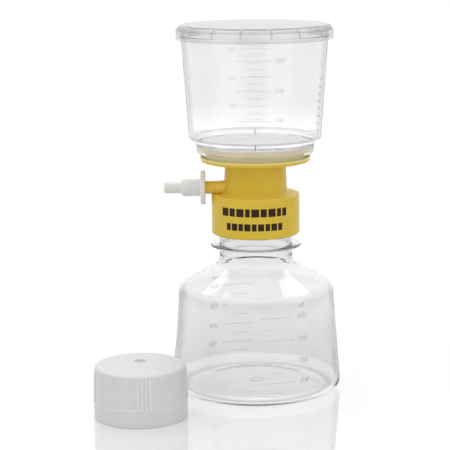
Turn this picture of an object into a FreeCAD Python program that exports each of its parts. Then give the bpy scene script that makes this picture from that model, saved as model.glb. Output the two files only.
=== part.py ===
"""Vacuum filtration unit: receiver bottle, screwed-on filter head with its chamber and lid, spare cap.

Millimetres, +Z up. The origin is where the bottle's axis meets the surface that it stands on.
The front is -Y, and the head's vacuum arm points to -X.
"""
import FreeCAD, Part

import math
import os

Vector = FreeCAD.Vector
UP = Vector(0, 0, 1)
ORIGIN = Vector(0, 0, 0)

# Receiver bottle
bottle_height = 119.0
base_r = 53.4              # tapered wall, carried down to the standing plane
body_taper = 5.0           # the wall is this much narrower at the shoulder
shoulder_slope = 29.0      # degrees above the horizontal
base_corner_r = 8.5
shoulder_corner_r = 5.0
throat_corner_r = 5.0      # hollow corner between shoulder and neck
bottle_wall = 1.5
standing_ring_inset = 11.0 # from the wall to the inner edge of the ring that the bottle stands on
standing_ring_r = 10.0     # corner radius there
push_up = 2.0              # how far the floor is raised inside the ring
push_up_width = 12.0       # the floor rises over this width
push_up_corner_r = 25.0
neck_r = 22.5
neck_wall = 1.4
neck_height = 39.3         # shoulder's end to the lip
neck_foot_step = 0.4       # the neck's foot is this much wider
neck_foot_drop = 33.8      # lip down to the step at the neck's foot
bead_width = 5.7           # transfer bead, out from the neck
bead_drop = 27.2           # lip down to the bead's upper face
bead_edge_thick = 1.0
bead_root_thick = 1.4      # its underside slopes down to the neck

# Grips: shallow ovals pressed into the bottle's wall, opposite each other
grip_azimuth = 202.0       # degrees from +X to the grip on the left
grip_depth = 3.0
grip_foot_margin = 7.0     # standing plane to the oval's lower end
grip_top_margin = 8.6      # oval's upper end to the shoulder
grip_half_angle = 27.0     # degrees round the bottle's axis

# Thread shared by the bottle's neck, the collar and the cap
thread_lead = 4.0
thread_height = 1.5
thread_root_width = 2.2
thread_crest_width = 1.0
thread_embed = 0.3         # how deep a ridge is set into its wall
thread_clearance = 0.55    # crest to the opposite wall
neck_thread_drop = 10.0    # lip down to the start of the neck's ridge
neck_thread_turns = 1.5
cap_thread_turns = 1.25

# Gasket
gasket_thick = 1.8
gasket_overlap = 3.0       # how far it reaches in from the neck's outside
gasket_clearance = 0.3     # to the bore of the collar

# Filter head, one yellow moulding
collar_wall = 2.95
collar_skirt = 22.2        # from the web's underside down
collar_web = 3.0
collar_top_corner_r = 0.9
collar_foot_corner_r = 1.5
collar_shelf = 7.7         # collar's top face, around the hollow neck
head_neck_corner_r = 2.0   # hollow corner between the collar's top and the neck
head_neck_taper = 0.8
head_neck_wall = 1.8       # at its narrow top
head_neck_height = 19.9
plate_inset = 0.5          # plate's edge, in from the membrane support's
plate_thick = 2.2
plate_edge_rise = 0.9      # the underside rises this much towards the edge
plate_lip_height = 2.9
plate_lip_thick = 1.2
plate_lip_band = 1.3       # upper part of the lip, which stands out over the lower part
plate_lip_step = 0.5
plate_groove_width = 1.8
plate_rim_width = 3.6      # where the underside starts to rise, in from the edge
plate_corner_r = 3.0
plate_root_corner_r = 1.2  # hollow corner between the neck and the plate
plate_edge_r = 0.5
seat_ring_inset = 4.7      # ring that carries the membrane support, in from the support's edge
seat_ring_wall = 2.2
seat_ring_height = 7.6     # above the plate's underside
basin_fall = 1.2           # the plate's upper face falls this much to the drain
seat_rib_count = 8
seat_rib_thick = 1.2
seat_rib_gap = 2.0         # from the drain to the ribs
drain_bore_r = 3.4
drain_wall = 1.6
drain_length = 33.0        # below the plate's underside
drain_root_corner_r = 1.5
arm_bore_r = 2.4
arm_wall = 1.6
arm_height = 3.7           # arm's axis above the collar's top
arm_length = 24.1          # out from the hollow neck
arm_root_swell = 0.5
arm_root_length = 4.0

# Membrane, its support and the side arm's plug
support_r = 34.9
support_thick = 3.1
support_rings = 5
support_hole_r = 1.3
support_hole_margin = 1.7  # outermost holes to the chamber's ledge
membrane_thick = 0.3
membrane_margin = 0.1      # the membrane is this much smaller than its support
plug_length = 9.0
plug_gap = 2.0             # arm's tip to the plug
plug_clearance = 0.05

# Upper chamber
chamber_foot_step = 4.2    # wall's foot, out from the skirt
chamber_taper = 4.65       # the wall is this much wider at the rim
chamber_foot_height = 5.3  # wall's foot above the membrane
chamber_height = 71.3      # rim above the membrane
chamber_wall = 1.5
chamber_corner_r = 2.0
ledge_overlap = 0.9        # ledge that holds the membrane's edge down
ledge_thick = 1.6
skirt_clearance = 0.1      # skirt to the membrane support
skirt_drop = 4.9           # skirt below the membrane
skirt_wall = 1.0
skirt_shoulder = 0.9       # skirt's top, wider than its lower edge by this
chamber_flange_width = 0.85
chamber_flange_drop = 4.8  # rim down to the flange's foot
chamber_flange_thick = 1.5

# Lid
lid_clearance = 0.4        # to the chamber's flange
lid_wall = 1.5
lid_rise = 3.1             # lid's top above the chamber's rim
lid_shoulder_width = 2.8   # from the skirt in to the flat top
lid_shoulder_drop = 3.2
lid_skirt = 8.8            # top face down to the skirt's edge
lid_rib_count = 16
lid_rib_phase = 11.25      # degrees
lid_rib_thick = 1.0
lid_rib_clearance = 0.4
lid_rib_length = 6.2       # top face down to the rib's foot
lid_panel_r = 29.0         # raised panel in the middle of the lid
lid_panel_height = 0.5
lid_panel_slope = 5.0      # the top rises to the panel over this width
lid_panel_corner_r = 12.0

# Hose adapter, pushed over the arm
adapter_fit = 0.08         # radial clearance on the arm
adapter_end_gap = 0.3      # arm's tip to the socket's end
adapter_socket_depth = 12.8
adapter_flange_width = 5.25
adapter_flange_thick = 3.0
adapter_wall = 1.37        # body, around the socket
adapter_body_length = 12.2
adapter_taper = 1.4
adapter_edge_r = 0.6
barb_r = 3.5
barb_length = 10.6
barb_wall = 1.3
barb_chamfer = 0.4

# Storage cap, standing mouth down beside the bottle
cap_azimuth = 222.5        # degrees from +X
cap_gap = 14.6             # clear of the bottle's wall
cap_wall = 3.25
cap_band_step = 0.3        # the plain band at the mouth stands out by this
cap_band_height = 10.7
cap_side_taper = 0.6       # the side is this much narrower at the top
cap_edge_z = 31.6
cap_edge_corner_r = 4.0
cap_mouth_corner_r = 0.5
cap_dome = 2.0
cap_top_wall = 2.6
cap_rib_groups = 4
cap_ribs_per_group = 4
cap_rib_pitch = 5.1        # degrees
cap_rib_height = 0.6
cap_rib_width = 1.2
cap_front_azimuth = -83.0  # degrees from +X to the middle of the front group

# Radii worked out from the sizes above
shoulder_r = base_r - body_taper
neck_foot_r = neck_r + neck_foot_step
bead_r = neck_r + bead_width
socket_bore_r = neck_r + thread_height + thread_clearance
collar_r = socket_bore_r + collar_wall
head_neck_foot_r = collar_r - collar_shelf
head_neck_top_r = head_neck_foot_r - head_neck_taper
head_neck_bore_r = head_neck_top_r - head_neck_wall
drain_r = drain_bore_r + drain_wall
arm_r = arm_bore_r + arm_wall
arm_reach = head_neck_foot_r + arm_length
plate_r = support_r - plate_inset
seat_ring_top_r = support_r - seat_ring_inset
ledge_r = support_r - ledge_overlap
skirt_r = support_r + skirt_clearance
skirt_out_r = skirt_r + skirt_wall
chamber_foot_r = skirt_out_r + skirt_shoulder + chamber_foot_step
chamber_top_r = chamber_foot_r + chamber_taper
chamber_flange_r = chamber_top_r + chamber_flange_width
lid_r = chamber_flange_r + lid_clearance + lid_wall
lid_shoulder_r = lid_r - lid_shoulder_width
adapter_socket_r = arm_r + adapter_fit
adapter_body_r = adapter_socket_r + adapter_wall
adapter_flange_r = adapter_body_r + adapter_flange_width
cap_side_r = socket_bore_r + cap_wall
cap_top_r = cap_side_r - cap_side_taper
cap_band_r = cap_side_r + cap_band_step
cap_distance = base_r + cap_gap + cap_band_r

# Heights worked out from the sizes above
lip_z = bottle_height
throat_z = lip_z - neck_height
shoulder_z = throat_z - (shoulder_r - neck_foot_r) * math.tan(math.radians(shoulder_slope))
neck_foot_z = lip_z - neck_foot_drop
bead_z = lip_z - bead_drop
thread_z = lip_z - neck_thread_drop
web_z = lip_z + gasket_thick
collar_top_z = web_z + collar_web
collar_foot_z = web_z - collar_skirt
arm_z = collar_top_z + arm_height
plate_z = collar_top_z + head_neck_height
support_z = plate_z + seat_ring_height
membrane_z = support_z + support_thick
chamber_z = membrane_z + membrane_thick
rim_z = chamber_z + chamber_height
lid_top_z = rim_z + lid_rise
cap_depth = cap_edge_z - cap_top_wall


def rounded_edges(corners):
    """Edges of a closed outline in the XZ plane; each corner is (r, z) or (r, z, corner radius)."""
    points = [Vector(c[0], 0, c[1]) for c in corners]
    radii = [c[2] if len(c) > 2 else 0.0 for c in corners]
    starts, ends, arcs = [], [], []
    for i, point in enumerate(points):
        back = (points[i - 1] - point).normalize()
        ahead = (points[(i + 1) % len(points)] - point).normalize()
        if radii[i] == 0.0:
            starts.append(point)
            ends.append(point)
            arcs.append(None)
            continue
        half = back.getAngle(ahead) / 2
        reach = radii[i] / math.tan(half)
        middle = (back + ahead).normalize() * (radii[i] / math.sin(half) - radii[i])
        starts.append(point + back * reach)
        ends.append(point + ahead * reach)
        arcs.append(point + middle)
    edges = []
    for i, point in enumerate(points):
        if arcs[i] is not None:
            edges.append(Part.Arc(starts[i], arcs[i], ends[i]).toShape())
        follower = starts[(i + 1) % len(points)]
        if (follower - ends[i]).Length > 1e-6:
            edges.append(Part.LineSegment(ends[i], follower).toShape())
    return edges


def turned(corners):
    """Solid of revolution about Z from a closed outline with rounded corners."""
    face = Part.Face(Part.Wire(rounded_edges(corners)))
    return face.revolve(ORIGIN, UP, 360)


def inset(corners, distance):
    """An open outline moved to the inner side by distance, with its rounded corners kept concentric."""
    points = [Vector(c[0], 0, c[1]) for c in corners]
    radii = [c[2] if len(c) > 2 else 0.0 for c in corners]
    directions = [(b - a).normalize() for a, b in zip(points, points[1:])]
    normals = [Vector(-d.z, 0, d.x) for d in directions]
    moved = [points[0] + normals[0] * distance]
    new_radii = [0.0]
    for i in range(1, len(points) - 1):
        bend = directions[i - 1].cross(directions[i]).y
        bisector = (normals[i - 1] + normals[i]).normalize()
        moved.append(points[i] + bisector * (distance / bisector.dot(normals[i])))
        inner = radii[i] - distance if bend < 0 else radii[i] + distance
        new_radii.append(max(inner, 0.0) if radii[i] else 0.0)
    moved.append(points[-1] + normals[-1] * distance)
    new_radii.append(0.0)
    return [(p.x, p.z, r) for p, r in zip(moved, new_radii)]


def spun(shape, angle, centre=ORIGIN):
    """A copy of the shape turned about a vertical axis."""
    copy = shape.copy()
    copy.rotate(centre, UP, angle)
    return copy


def bar(x0, x1, width, z0, z1):
    """Upright bar along +X, centred on the XZ plane."""
    return Part.makeBox(x1 - x0, width, z1 - z0, Vector(x0, -width / 2, z0))


def thread_ridge(wall_r, side, turns, start_z):
    """Right-handed helical ridge; side is 1 for a ridge on the outside of a wall, -1 for the inside."""
    helix = Part.makeHelix(thread_lead, thread_lead * turns, wall_r)
    foot = wall_r - side * thread_embed
    crest = wall_r + side * thread_height
    widening = 1 + thread_embed / thread_height
    half_foot = thread_crest_width / 2 + (thread_root_width - thread_crest_width) / 2 * widening
    half_crest = thread_crest_width / 2
    section = Part.makePolygon([
        Vector(foot, 0, -half_foot), Vector(foot, 0, half_foot),
        Vector(crest, 0, half_crest), Vector(crest, 0, -half_crest), Vector(foot, 0, -half_foot),
    ])
    ridge = Part.Wire(helix).makePipeShell([section], True, True)
    ridge.translate(Vector(0, 0, start_z))
    return ridge


def grip_cutter(angle, wall):
    """Part of a ring whose hollow side leaves an oval grip; wall widens it for the bottle's inner face."""
    taper = body_taper / shoulder_z
    half_height = (shoulder_z - grip_top_margin - grip_foot_margin) / 2
    middle_z = grip_foot_margin + half_height
    wall_r = base_r - taper * middle_z
    half_width = math.radians(grip_half_angle)
    chord = wall_r * math.sin(half_width)
    bulge = wall_r * (1 - math.cos(half_width)) - grip_depth
    level_r = (chord ** 2 + bulge ** 2) / (2 * bulge)
    upright_r = (half_height ** 2 + grip_depth ** 2) / (2 * grip_depth)
    ring = Part.makeTorus(level_r + upright_r, upright_r + wall)
    ring.rotate(ORIGIN, Vector(0, 1, 0), -math.degrees(math.atan(taper)))
    ring.translate(Vector(wall_r - grip_depth - level_r, 0, middle_z))
    margin = 2 * grip_depth
    near = Part.makeBox(wall_r + margin, 2 * wall_r, 2 * (half_height + margin),
                        Vector(wall_r / 3, -wall_r, middle_z - half_height - margin))
    return spun(ring.common(near), angle)


def receiver_bottle():
    """Blown bottle: tapered body, two pressed grips, sloping shoulder, bead and threaded neck."""
    ring_r = base_r - standing_ring_inset
    bore_r = neck_r - neck_wall
    body = [
        (0, push_up),
        (ring_r - push_up_width, push_up, push_up_corner_r),
        (ring_r, 0, standing_ring_r),
        (base_r, 0, base_corner_r),
        (shoulder_r, shoulder_z, shoulder_corner_r),
        (neck_foot_r, throat_z, throat_corner_r),
        (neck_foot_r, neck_foot_z),
    ]
    hollow = inset(body, bottle_wall)[:-1]
    hollow[-1] = (bore_r, hollow[-1][1], hollow[-1][2])
    outer = turned(body + [(neck_r, neck_foot_z + neck_foot_step), (neck_r, lip_z), (0, lip_z)])
    inner = turned(hollow + [(bore_r, lip_z + 1), (0, lip_z + 1)])
    for angle in (grip_azimuth, grip_azimuth + 180):
        outer = outer.cut(grip_cutter(angle, 0))
        inner = inner.cut(grip_cutter(angle, bottle_wall))
    bead = turned([
        (neck_r - neck_wall / 2, bead_z - bead_root_thick),
        (bead_r, bead_z - bead_edge_thick, bead_edge_thick / 3),
        (bead_r, bead_z, bead_edge_thick / 3),
        (neck_r - neck_wall / 2, bead_z),
    ])
    ridge = thread_ridge(neck_r, 1, neck_thread_turns, thread_z)
    return outer.fuse([bead, ridge]).cut(inner)


def socket_ridge(top_z):
    """Ridge in a collar or cap whose inner top is at top_z; it runs half a lead below the neck's."""
    start_z = top_z - neck_thread_drop - thread_lead / 2
    return thread_ridge(socket_bore_r, -1, cap_thread_turns, start_z)


def neck_gasket():
    """Flat ring between the bottle's lip and the collar's web."""
    outer_r = socket_bore_r - gasket_clearance
    ring = Part.makeCylinder(outer_r, gasket_thick, Vector(0, 0, lip_z))
    return ring.cut(Part.makeCylinder(neck_r - gasket_overlap, gasket_thick, Vector(0, 0, lip_z)))


def filter_head():
    """Collar, hollow neck, side arm, drain and support plate, moulded in one."""
    edge_z = plate_z + plate_edge_rise
    groove_z = edge_z + plate_thick / 2
    rim_top_z = edge_z + plate_lip_height
    rim_inner_r = plate_r - plate_lip_thick
    basin_r = seat_ring_top_r - seat_ring_wall
    basin_z = plate_z + plate_thick + basin_fall
    drain_foot_z = plate_z - drain_length
    head = turned([
        (drain_bore_r, drain_foot_z),
        (drain_r, drain_foot_z),
        (drain_r, plate_z, drain_root_corner_r),
        (head_neck_bore_r, plate_z, drain_root_corner_r),
        (head_neck_bore_r, web_z),
        (socket_bore_r, web_z),
        (socket_bore_r, collar_foot_z),
        (collar_r, collar_foot_z, collar_foot_corner_r),
        (collar_r, collar_top_z, collar_top_corner_r),
        (head_neck_foot_r, collar_top_z, head_neck_corner_r),
        (head_neck_top_r, plate_z, plate_root_corner_r),
        (plate_r - plate_rim_width, plate_z, plate_corner_r),
        (plate_r - plate_lip_step, edge_z, plate_edge_r),
        (plate_r - plate_lip_step, rim_top_z - plate_lip_band - plate_lip_step),
        (plate_r, rim_top_z - plate_lip_band),
        (plate_r, rim_top_z, plate_lip_thick / 3),
        (rim_inner_r, rim_top_z, plate_lip_thick / 3),
        (rim_inner_r, groove_z, plate_lip_thick / 3),
        (rim_inner_r - plate_groove_width, groove_z),
        (seat_ring_top_r, support_z),
        (basin_r, support_z),
        (basin_r, basin_z),
        (drain_bore_r, basin_z - basin_fall),
    ])
    rib_foot_z = plate_z + plate_thick / 2
    rib = bar(drain_r + seat_rib_gap, basin_r + seat_ring_wall / 2, seat_rib_thick, rib_foot_z, support_z)
    head = head.fuse([spun(rib, i * 360 / seat_rib_count) for i in range(seat_rib_count)])
    outward = Vector(-1, 0, 0)
    start_r = head_neck_bore_r + head_neck_wall / 2
    start = Vector(-start_r, 0, arm_z)
    root_length = head_neck_foot_r + arm_root_length - start_r
    arm = Part.makeCylinder(arm_r, arm_reach - start_r, start, outward)
    root = Part.makeCone(arm_r + arm_root_swell, arm_r, root_length, start, outward)
    bore = Part.makeCylinder(arm_bore_r, arm_reach, Vector(-drain_r - arm_wall, 0, arm_z), outward)
    return head.fuse([arm, root]).cut(bore).fuse(socket_ridge(lip_z))


def side_arm_plug():
    """Plug of filter fibre inside the arm."""
    start = Vector(-arm_reach + plug_gap, 0, arm_z)
    return Part.makeCylinder(arm_bore_r - plug_clearance, plug_length, start, Vector(1, 0, 0))


def hose_adapter():
    """White stepped adapter: socket, flange, body and hose barb."""
    mouth_x = -arm_reach - adapter_end_gap + adapter_socket_depth
    body_end = adapter_flange_thick + adapter_body_length
    tip = body_end + barb_length
    edge = adapter_edge_r
    outline = [
        (adapter_socket_r, 0),
        (adapter_flange_r, 0, edge),
        (adapter_flange_r, adapter_flange_thick, edge),
        (adapter_body_r, adapter_flange_thick, edge),
        (adapter_body_r, body_end - adapter_taper, edge),
        (barb_r, body_end, edge),
        (barb_r, tip - barb_chamfer),
        (barb_r - barb_chamfer, tip),
        (barb_r - barb_wall, tip),
        (barb_r - barb_wall, adapter_socket_depth),
        (adapter_socket_r, adapter_socket_depth),
    ]
    adapter = turned(outline)
    adapter.rotate(ORIGIN, Vector(0, 1, 0), -90)
    adapter.translate(Vector(mouth_x, 0, arm_z))
    return adapter


def membrane_support():
    """Drilled disc that the membrane lies on."""
    disc = Part.makeCylinder(support_r, support_thick, Vector(0, 0, support_z))
    pitch = (ledge_r - support_hole_margin - support_hole_r) / support_rings
    holes = []
    for ring in range(1, support_rings + 1):
        hole = Part.makeCylinder(support_hole_r, support_thick, Vector(ring * pitch, 0, support_z))
        holes += [spun(hole, i * 60 / ring) for i in range(6 * ring)]
    return disc.cut(holes)


def membrane_filter():
    """Thin filter membrane, held at its edge by the chamber's ledge."""
    return Part.makeCylinder(support_r - membrane_margin, membrane_thick, Vector(0, 0, membrane_z))


def upper_chamber():
    """Clear tapered chamber with its stepped foot, skirt and flanged rim."""
    foot_z = chamber_z + chamber_foot_height
    ledge_z = chamber_z + ledge_thick
    skirt_z = chamber_z - skirt_drop
    flange_z = rim_z - chamber_flange_drop
    taper = chamber_taper / (rim_z - foot_z)
    inner_foot_r = chamber_foot_r - chamber_wall
    body = turned([
        (skirt_r, skirt_z),
        (skirt_out_r, skirt_z, skirt_wall / 3),
        (skirt_out_r + skirt_shoulder, chamber_z + ledge_thick / 2, skirt_wall),
        (chamber_foot_r, foot_z - chamber_wall / 2, chamber_corner_r),
        (chamber_top_r, rim_z, chamber_wall / 3),
        (chamber_top_r - chamber_wall, rim_z, chamber_wall / 3),
        (inner_foot_r, foot_z, chamber_corner_r),
        (inner_foot_r - chamber_corner_r, ledge_z + chamber_wall / 2, chamber_corner_r),
        (ledge_r, ledge_z),
        (ledge_r, chamber_z),
        (skirt_r, chamber_z),
    ])
    root_r = chamber_top_r - taper * chamber_flange_drop - chamber_wall / 2
    edge = chamber_flange_thick / 4
    flange = turned([
        (root_r, flange_z),
        (chamber_flange_r, flange_z, edge),
        (chamber_flange_r, flange_z + chamber_flange_thick, edge),
        (root_r, flange_z + chamber_flange_thick),
    ])
    return body.fuse(flange)


def chamber_lid():
    """Lid with a rounded shoulder; its inner ribs stand on the chamber's rim."""
    skirt_in = lid_r - lid_wall
    under_z = lid_top_z - lid_wall
    shell = turned([
        (0, under_z),
        (lid_shoulder_r - lid_wall / 2, under_z, lid_wall),
        (skirt_in, lid_top_z - lid_shoulder_drop, lid_wall),
        (skirt_in, lid_top_z - lid_skirt),
        (lid_r, lid_top_z - lid_skirt, lid_wall / 3),
        (lid_r, lid_top_z - lid_shoulder_drop + lid_wall / 2, 2 * lid_wall),
        (lid_shoulder_r, lid_top_z, 2 * lid_wall),
        (lid_panel_r + lid_panel_slope, lid_top_z, lid_panel_corner_r),
        (lid_panel_r, lid_top_z + lid_panel_height, lid_panel_corner_r),
        (0, lid_top_z + lid_panel_height),
    ])
    guide = bar(chamber_top_r + lid_rib_clearance, skirt_in + lid_wall / 2, lid_rib_thick,
                lid_top_z - lid_rib_length, under_z - lid_wall)
    foot = bar(chamber_top_r - 2 * chamber_wall, skirt_in - lid_wall, lid_rib_thick,
               rim_z, under_z + lid_wall / 2)
    angles = [lid_rib_phase + i * 360 / lid_rib_count for i in range(lid_rib_count)]
    return shell.fuse([spun(piece, angle) for angle in angles for piece in (guide, foot)])


def storage_cap():
    """Spare screw cap for the bottle, with four groups of grip ribs and a plain band at its mouth."""
    shell = turned([
        (socket_bore_r, 0),
        (cap_band_r, 0, cap_mouth_corner_r),
        (cap_band_r, cap_band_height),
        (cap_side_r, cap_band_height + cap_band_r - cap_side_r),
        (cap_top_r, cap_edge_z, cap_edge_corner_r),
        (0, cap_edge_z),
        (0, cap_depth),
        (socket_bore_r, cap_depth, 2 * cap_mouth_corner_r),
    ])
    crown_r = cap_top_r - cap_edge_corner_r
    sphere_r = (crown_r ** 2 + cap_dome ** 2) / (2 * cap_dome)
    ball = Part.makeSphere(sphere_r, Vector(0, 0, cap_edge_z + cap_dome - sphere_r))
    crown = ball.common(Part.makeCylinder(crown_r, 2 * cap_dome, Vector(0, 0, cap_edge_z - cap_dome / 4)))
    cap = shell.fuse(crown)
    rib_r = cap_side_r + cap_rib_height
    sleeve = turned([
        (0, cap_band_height),
        (rib_r, cap_band_height),
        (cap_top_r + cap_rib_height, cap_edge_z, cap_edge_corner_r + cap_rib_height),
        (0, cap_edge_z),
    ])
    rib = bar(cap_top_r - cap_rib_height, rib_r + 1, cap_rib_width, cap_band_height, cap_edge_z)
    rib = rib.common(sleeve)
    group_width = (cap_ribs_per_group - 1) * cap_rib_pitch
    ribs = []
    for group in range(cap_rib_groups):
        first = cap_front_azimuth + group * 360 / cap_rib_groups - group_width / 2
        ribs += [spun(rib, first + i * cap_rib_pitch) for i in range(cap_ribs_per_group)]
    cap = cap.fuse(ribs + [socket_ridge(cap_depth)])
    place = math.radians(cap_azimuth)
    cap.translate(Vector(cap_distance * math.cos(place), cap_distance * math.sin(place), 0))
    return cap


def write(name, shape):
    """Write one node's STEP file and report its solids and volume."""
    shape = shape.removeSplitter()
    print(f"{name}: {len(shape.Solids)} solid, {shape.Volume / 1000:.2f} ml, valid {shape.isValid()}")
    shape.exportStep(f"parts/{name}.step")


def main():
    """Build every piece."""
    os.makedirs("parts", exist_ok=True)
    write("receiver_bottle", receiver_bottle())
    write("neck_gasket", neck_gasket())
    write("filter_head", filter_head())
    write("side_arm_plug", side_arm_plug())
    write("hose_adapter", hose_adapter())
    write("membrane_support", membrane_support())
    write("membrane_filter", membrane_filter())
    write("upper_chamber", upper_chamber())
    write("chamber_lid", chamber_lid())
    write("storage_cap", storage_cap())


main()
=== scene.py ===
"""Finished look of a vacuum filtration unit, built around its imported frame.

Blender works in metres. The sizes that the classes hold are millimetres and degrees, and the heights in
them start at the lower end of the piece's own node, unless a field's comment says otherwise.
"""

import logging
import math
from dataclasses import dataclass, field
from enum import Enum
from typing import Callable, Optional, Sequence

import bpy
import bmesh
import numpy as np
from mathutils import Matrix, Vector


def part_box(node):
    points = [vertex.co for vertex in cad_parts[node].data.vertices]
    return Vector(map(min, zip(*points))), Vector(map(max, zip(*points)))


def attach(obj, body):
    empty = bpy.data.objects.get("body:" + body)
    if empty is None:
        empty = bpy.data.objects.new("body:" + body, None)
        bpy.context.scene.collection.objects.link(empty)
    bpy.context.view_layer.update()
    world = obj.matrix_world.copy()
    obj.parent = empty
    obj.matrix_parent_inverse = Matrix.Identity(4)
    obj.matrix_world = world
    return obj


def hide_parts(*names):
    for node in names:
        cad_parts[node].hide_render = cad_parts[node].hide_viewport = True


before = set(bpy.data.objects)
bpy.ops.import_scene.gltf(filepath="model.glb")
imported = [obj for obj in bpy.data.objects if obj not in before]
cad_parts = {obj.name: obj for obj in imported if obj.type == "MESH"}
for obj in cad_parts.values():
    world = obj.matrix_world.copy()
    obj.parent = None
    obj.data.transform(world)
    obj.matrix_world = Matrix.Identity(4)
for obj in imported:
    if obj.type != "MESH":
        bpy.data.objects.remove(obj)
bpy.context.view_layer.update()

LOG = logging.getLogger("filtration_unit")
MM = 0.001
TAU = 2 * math.pi

Outline = np.ndarray
Corner = Sequence[float]
Levels = tuple[tuple[float, float], ...]
PrintRow = tuple[float, float, tuple[tuple[float, float], ...]]


class Body(Enum):
    """Moving bodies that the pieces ride on."""

    RECEIVER = "receiver"
    HEAD = "head"
    LID = "lid"
    ADAPTER = "adapter"


class Mark(Enum):
    """Kinds of graduation on a moulded scale."""

    MAJOR = "major"
    MINOR = "minor"


def columns(count: int) -> np.ndarray:
    """Even angles for the columns of a turned form, in radians."""
    return np.linspace(0, TAU, count, endpoint=False)


def node_span(node: str) -> tuple[np.ndarray, np.ndarray]:
    """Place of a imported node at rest.

    Args:
        node: The node's name.

    Returns:
        Its lowest and highest corners in millimetres.
    """
    low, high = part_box(node)
    return np.array(low) / MM, np.array(high) / MM


# Outlines ------------------------------------------------------------------------------------------------


def rounded(corners: Sequence[Corner], closed: bool, edge: float = 0.2, step: float = 12.0) -> Outline:
    """Points of an outline whose corners are rounded.

    Args:
        corners: (r, z) or (r, z, corner radius) of each corner.
        closed: True if the last corner joins the first.
        edge: Corner radius where a corner names none.
        step: Largest turn between two points of a corner, in degrees.

    Returns:
        One (r, z) row for each point, with a point close to both ends of each rounding.
    """
    points = [np.array(c[:2], float) for c in corners]
    count = len(points)
    made: list[np.ndarray] = []
    for i, point in enumerate(points):
        if not closed and i in (0, count - 1):
            made.append(point)
            continue
        back, ahead = points[i - 1] - point, points[(i + 1) % count] - point
        reach_back, reach_ahead = np.linalg.norm(back), np.linalg.norm(ahead)
        back, ahead = back / reach_back, ahead / reach_ahead
        turn = math.pi - math.acos(float(np.clip(back @ ahead, -1, 1)))
        if turn < math.radians(1.0):
            made.append(point)
            continue
        radius = corners[i][2] if len(corners[i]) > 2 else edge
        tangent = min(radius * math.tan(turn / 2), 0.46 * reach_back, 0.46 * reach_ahead)
        radius = tangent / math.tan(turn / 2)
        start, middle = point + back * tangent, (back + ahead) / np.linalg.norm(back + ahead)
        centre = point + middle * (radius / math.cos(turn / 2))
        steps = max(2, math.ceil(math.degrees(turn) / step))
        side = 1.0 if back[0] * ahead[1] - back[1] * ahead[0] < 0 else -1.0
        spoke = start - centre
        made.append(start + back * min(0.3, 0.25 * (reach_back - tangent)))
        for k in range(steps + 1):
            a = side * turn * k / steps
            made.append(centre + np.array([
                spoke[0] * math.cos(a) - spoke[1] * math.sin(a),
                spoke[0] * math.sin(a) + spoke[1] * math.cos(a),
            ]))
        made.append(point + ahead * (tangent + min(0.3, 0.25 * (reach_ahead - tangent))))
    return np.array(made)


def inset(corners: Sequence[Corner], distance: float) -> list[tuple[float, float, float]]:
    """An open outline moved to its inner side, with its roundings kept concentric.

    Args:
        corners: (r, z) or (r, z, corner radius) of each corner.
        distance: How far the outline moves.

    Returns:
        The moved corners, each with a corner radius.
    """
    points = [np.array(c[:2], float) for c in corners]
    ways = [(b - a) / np.linalg.norm(b - a) for a, b in zip(points, points[1:])]
    sides = [np.array([-w[1], w[0]]) for w in ways]
    moved = [(*(points[0] + sides[0] * distance), 0.0)]
    for i in range(1, len(points) - 1):
        middle = (sides[i - 1] + sides[i]) / np.linalg.norm(sides[i - 1] + sides[i])
        place = points[i] + middle * (distance / float(middle @ sides[i]))
        outward = ways[i - 1][0] * ways[i][1] - ways[i - 1][1] * ways[i][0] > 0
        radius = corners[i][2] - distance if outward else corners[i][2] + distance
        moved.append((*place, max(radius, 0.1)))
    moved.append((*(points[-1] + sides[-1] * distance), 0.0))
    return moved


def refined(outline: Outline, spacing: Callable[[np.ndarray], float], closed: bool) -> Outline:
    """An outline with extra points on its long runs.

    Args:
        outline: (r, z) rows.
        spacing: Gives the largest distance between points near a place.
        closed: True if the last point joins the first.

    Returns:
        The outline with its runs divided.
    """
    made = []
    for i in range(len(outline) if closed else len(outline) - 1):
        a, b = outline[i], outline[(i + 1) % len(outline)]
        parts = max(1, math.ceil(np.linalg.norm(b - a) / spacing((a + b) / 2)))
        made += [a + (b - a) * k / parts for k in range(parts)]
    if not closed:
        made.append(outline[-1])
    return np.array(made)


# Meshes --------------------------------------------------------------------------------------------------


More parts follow.
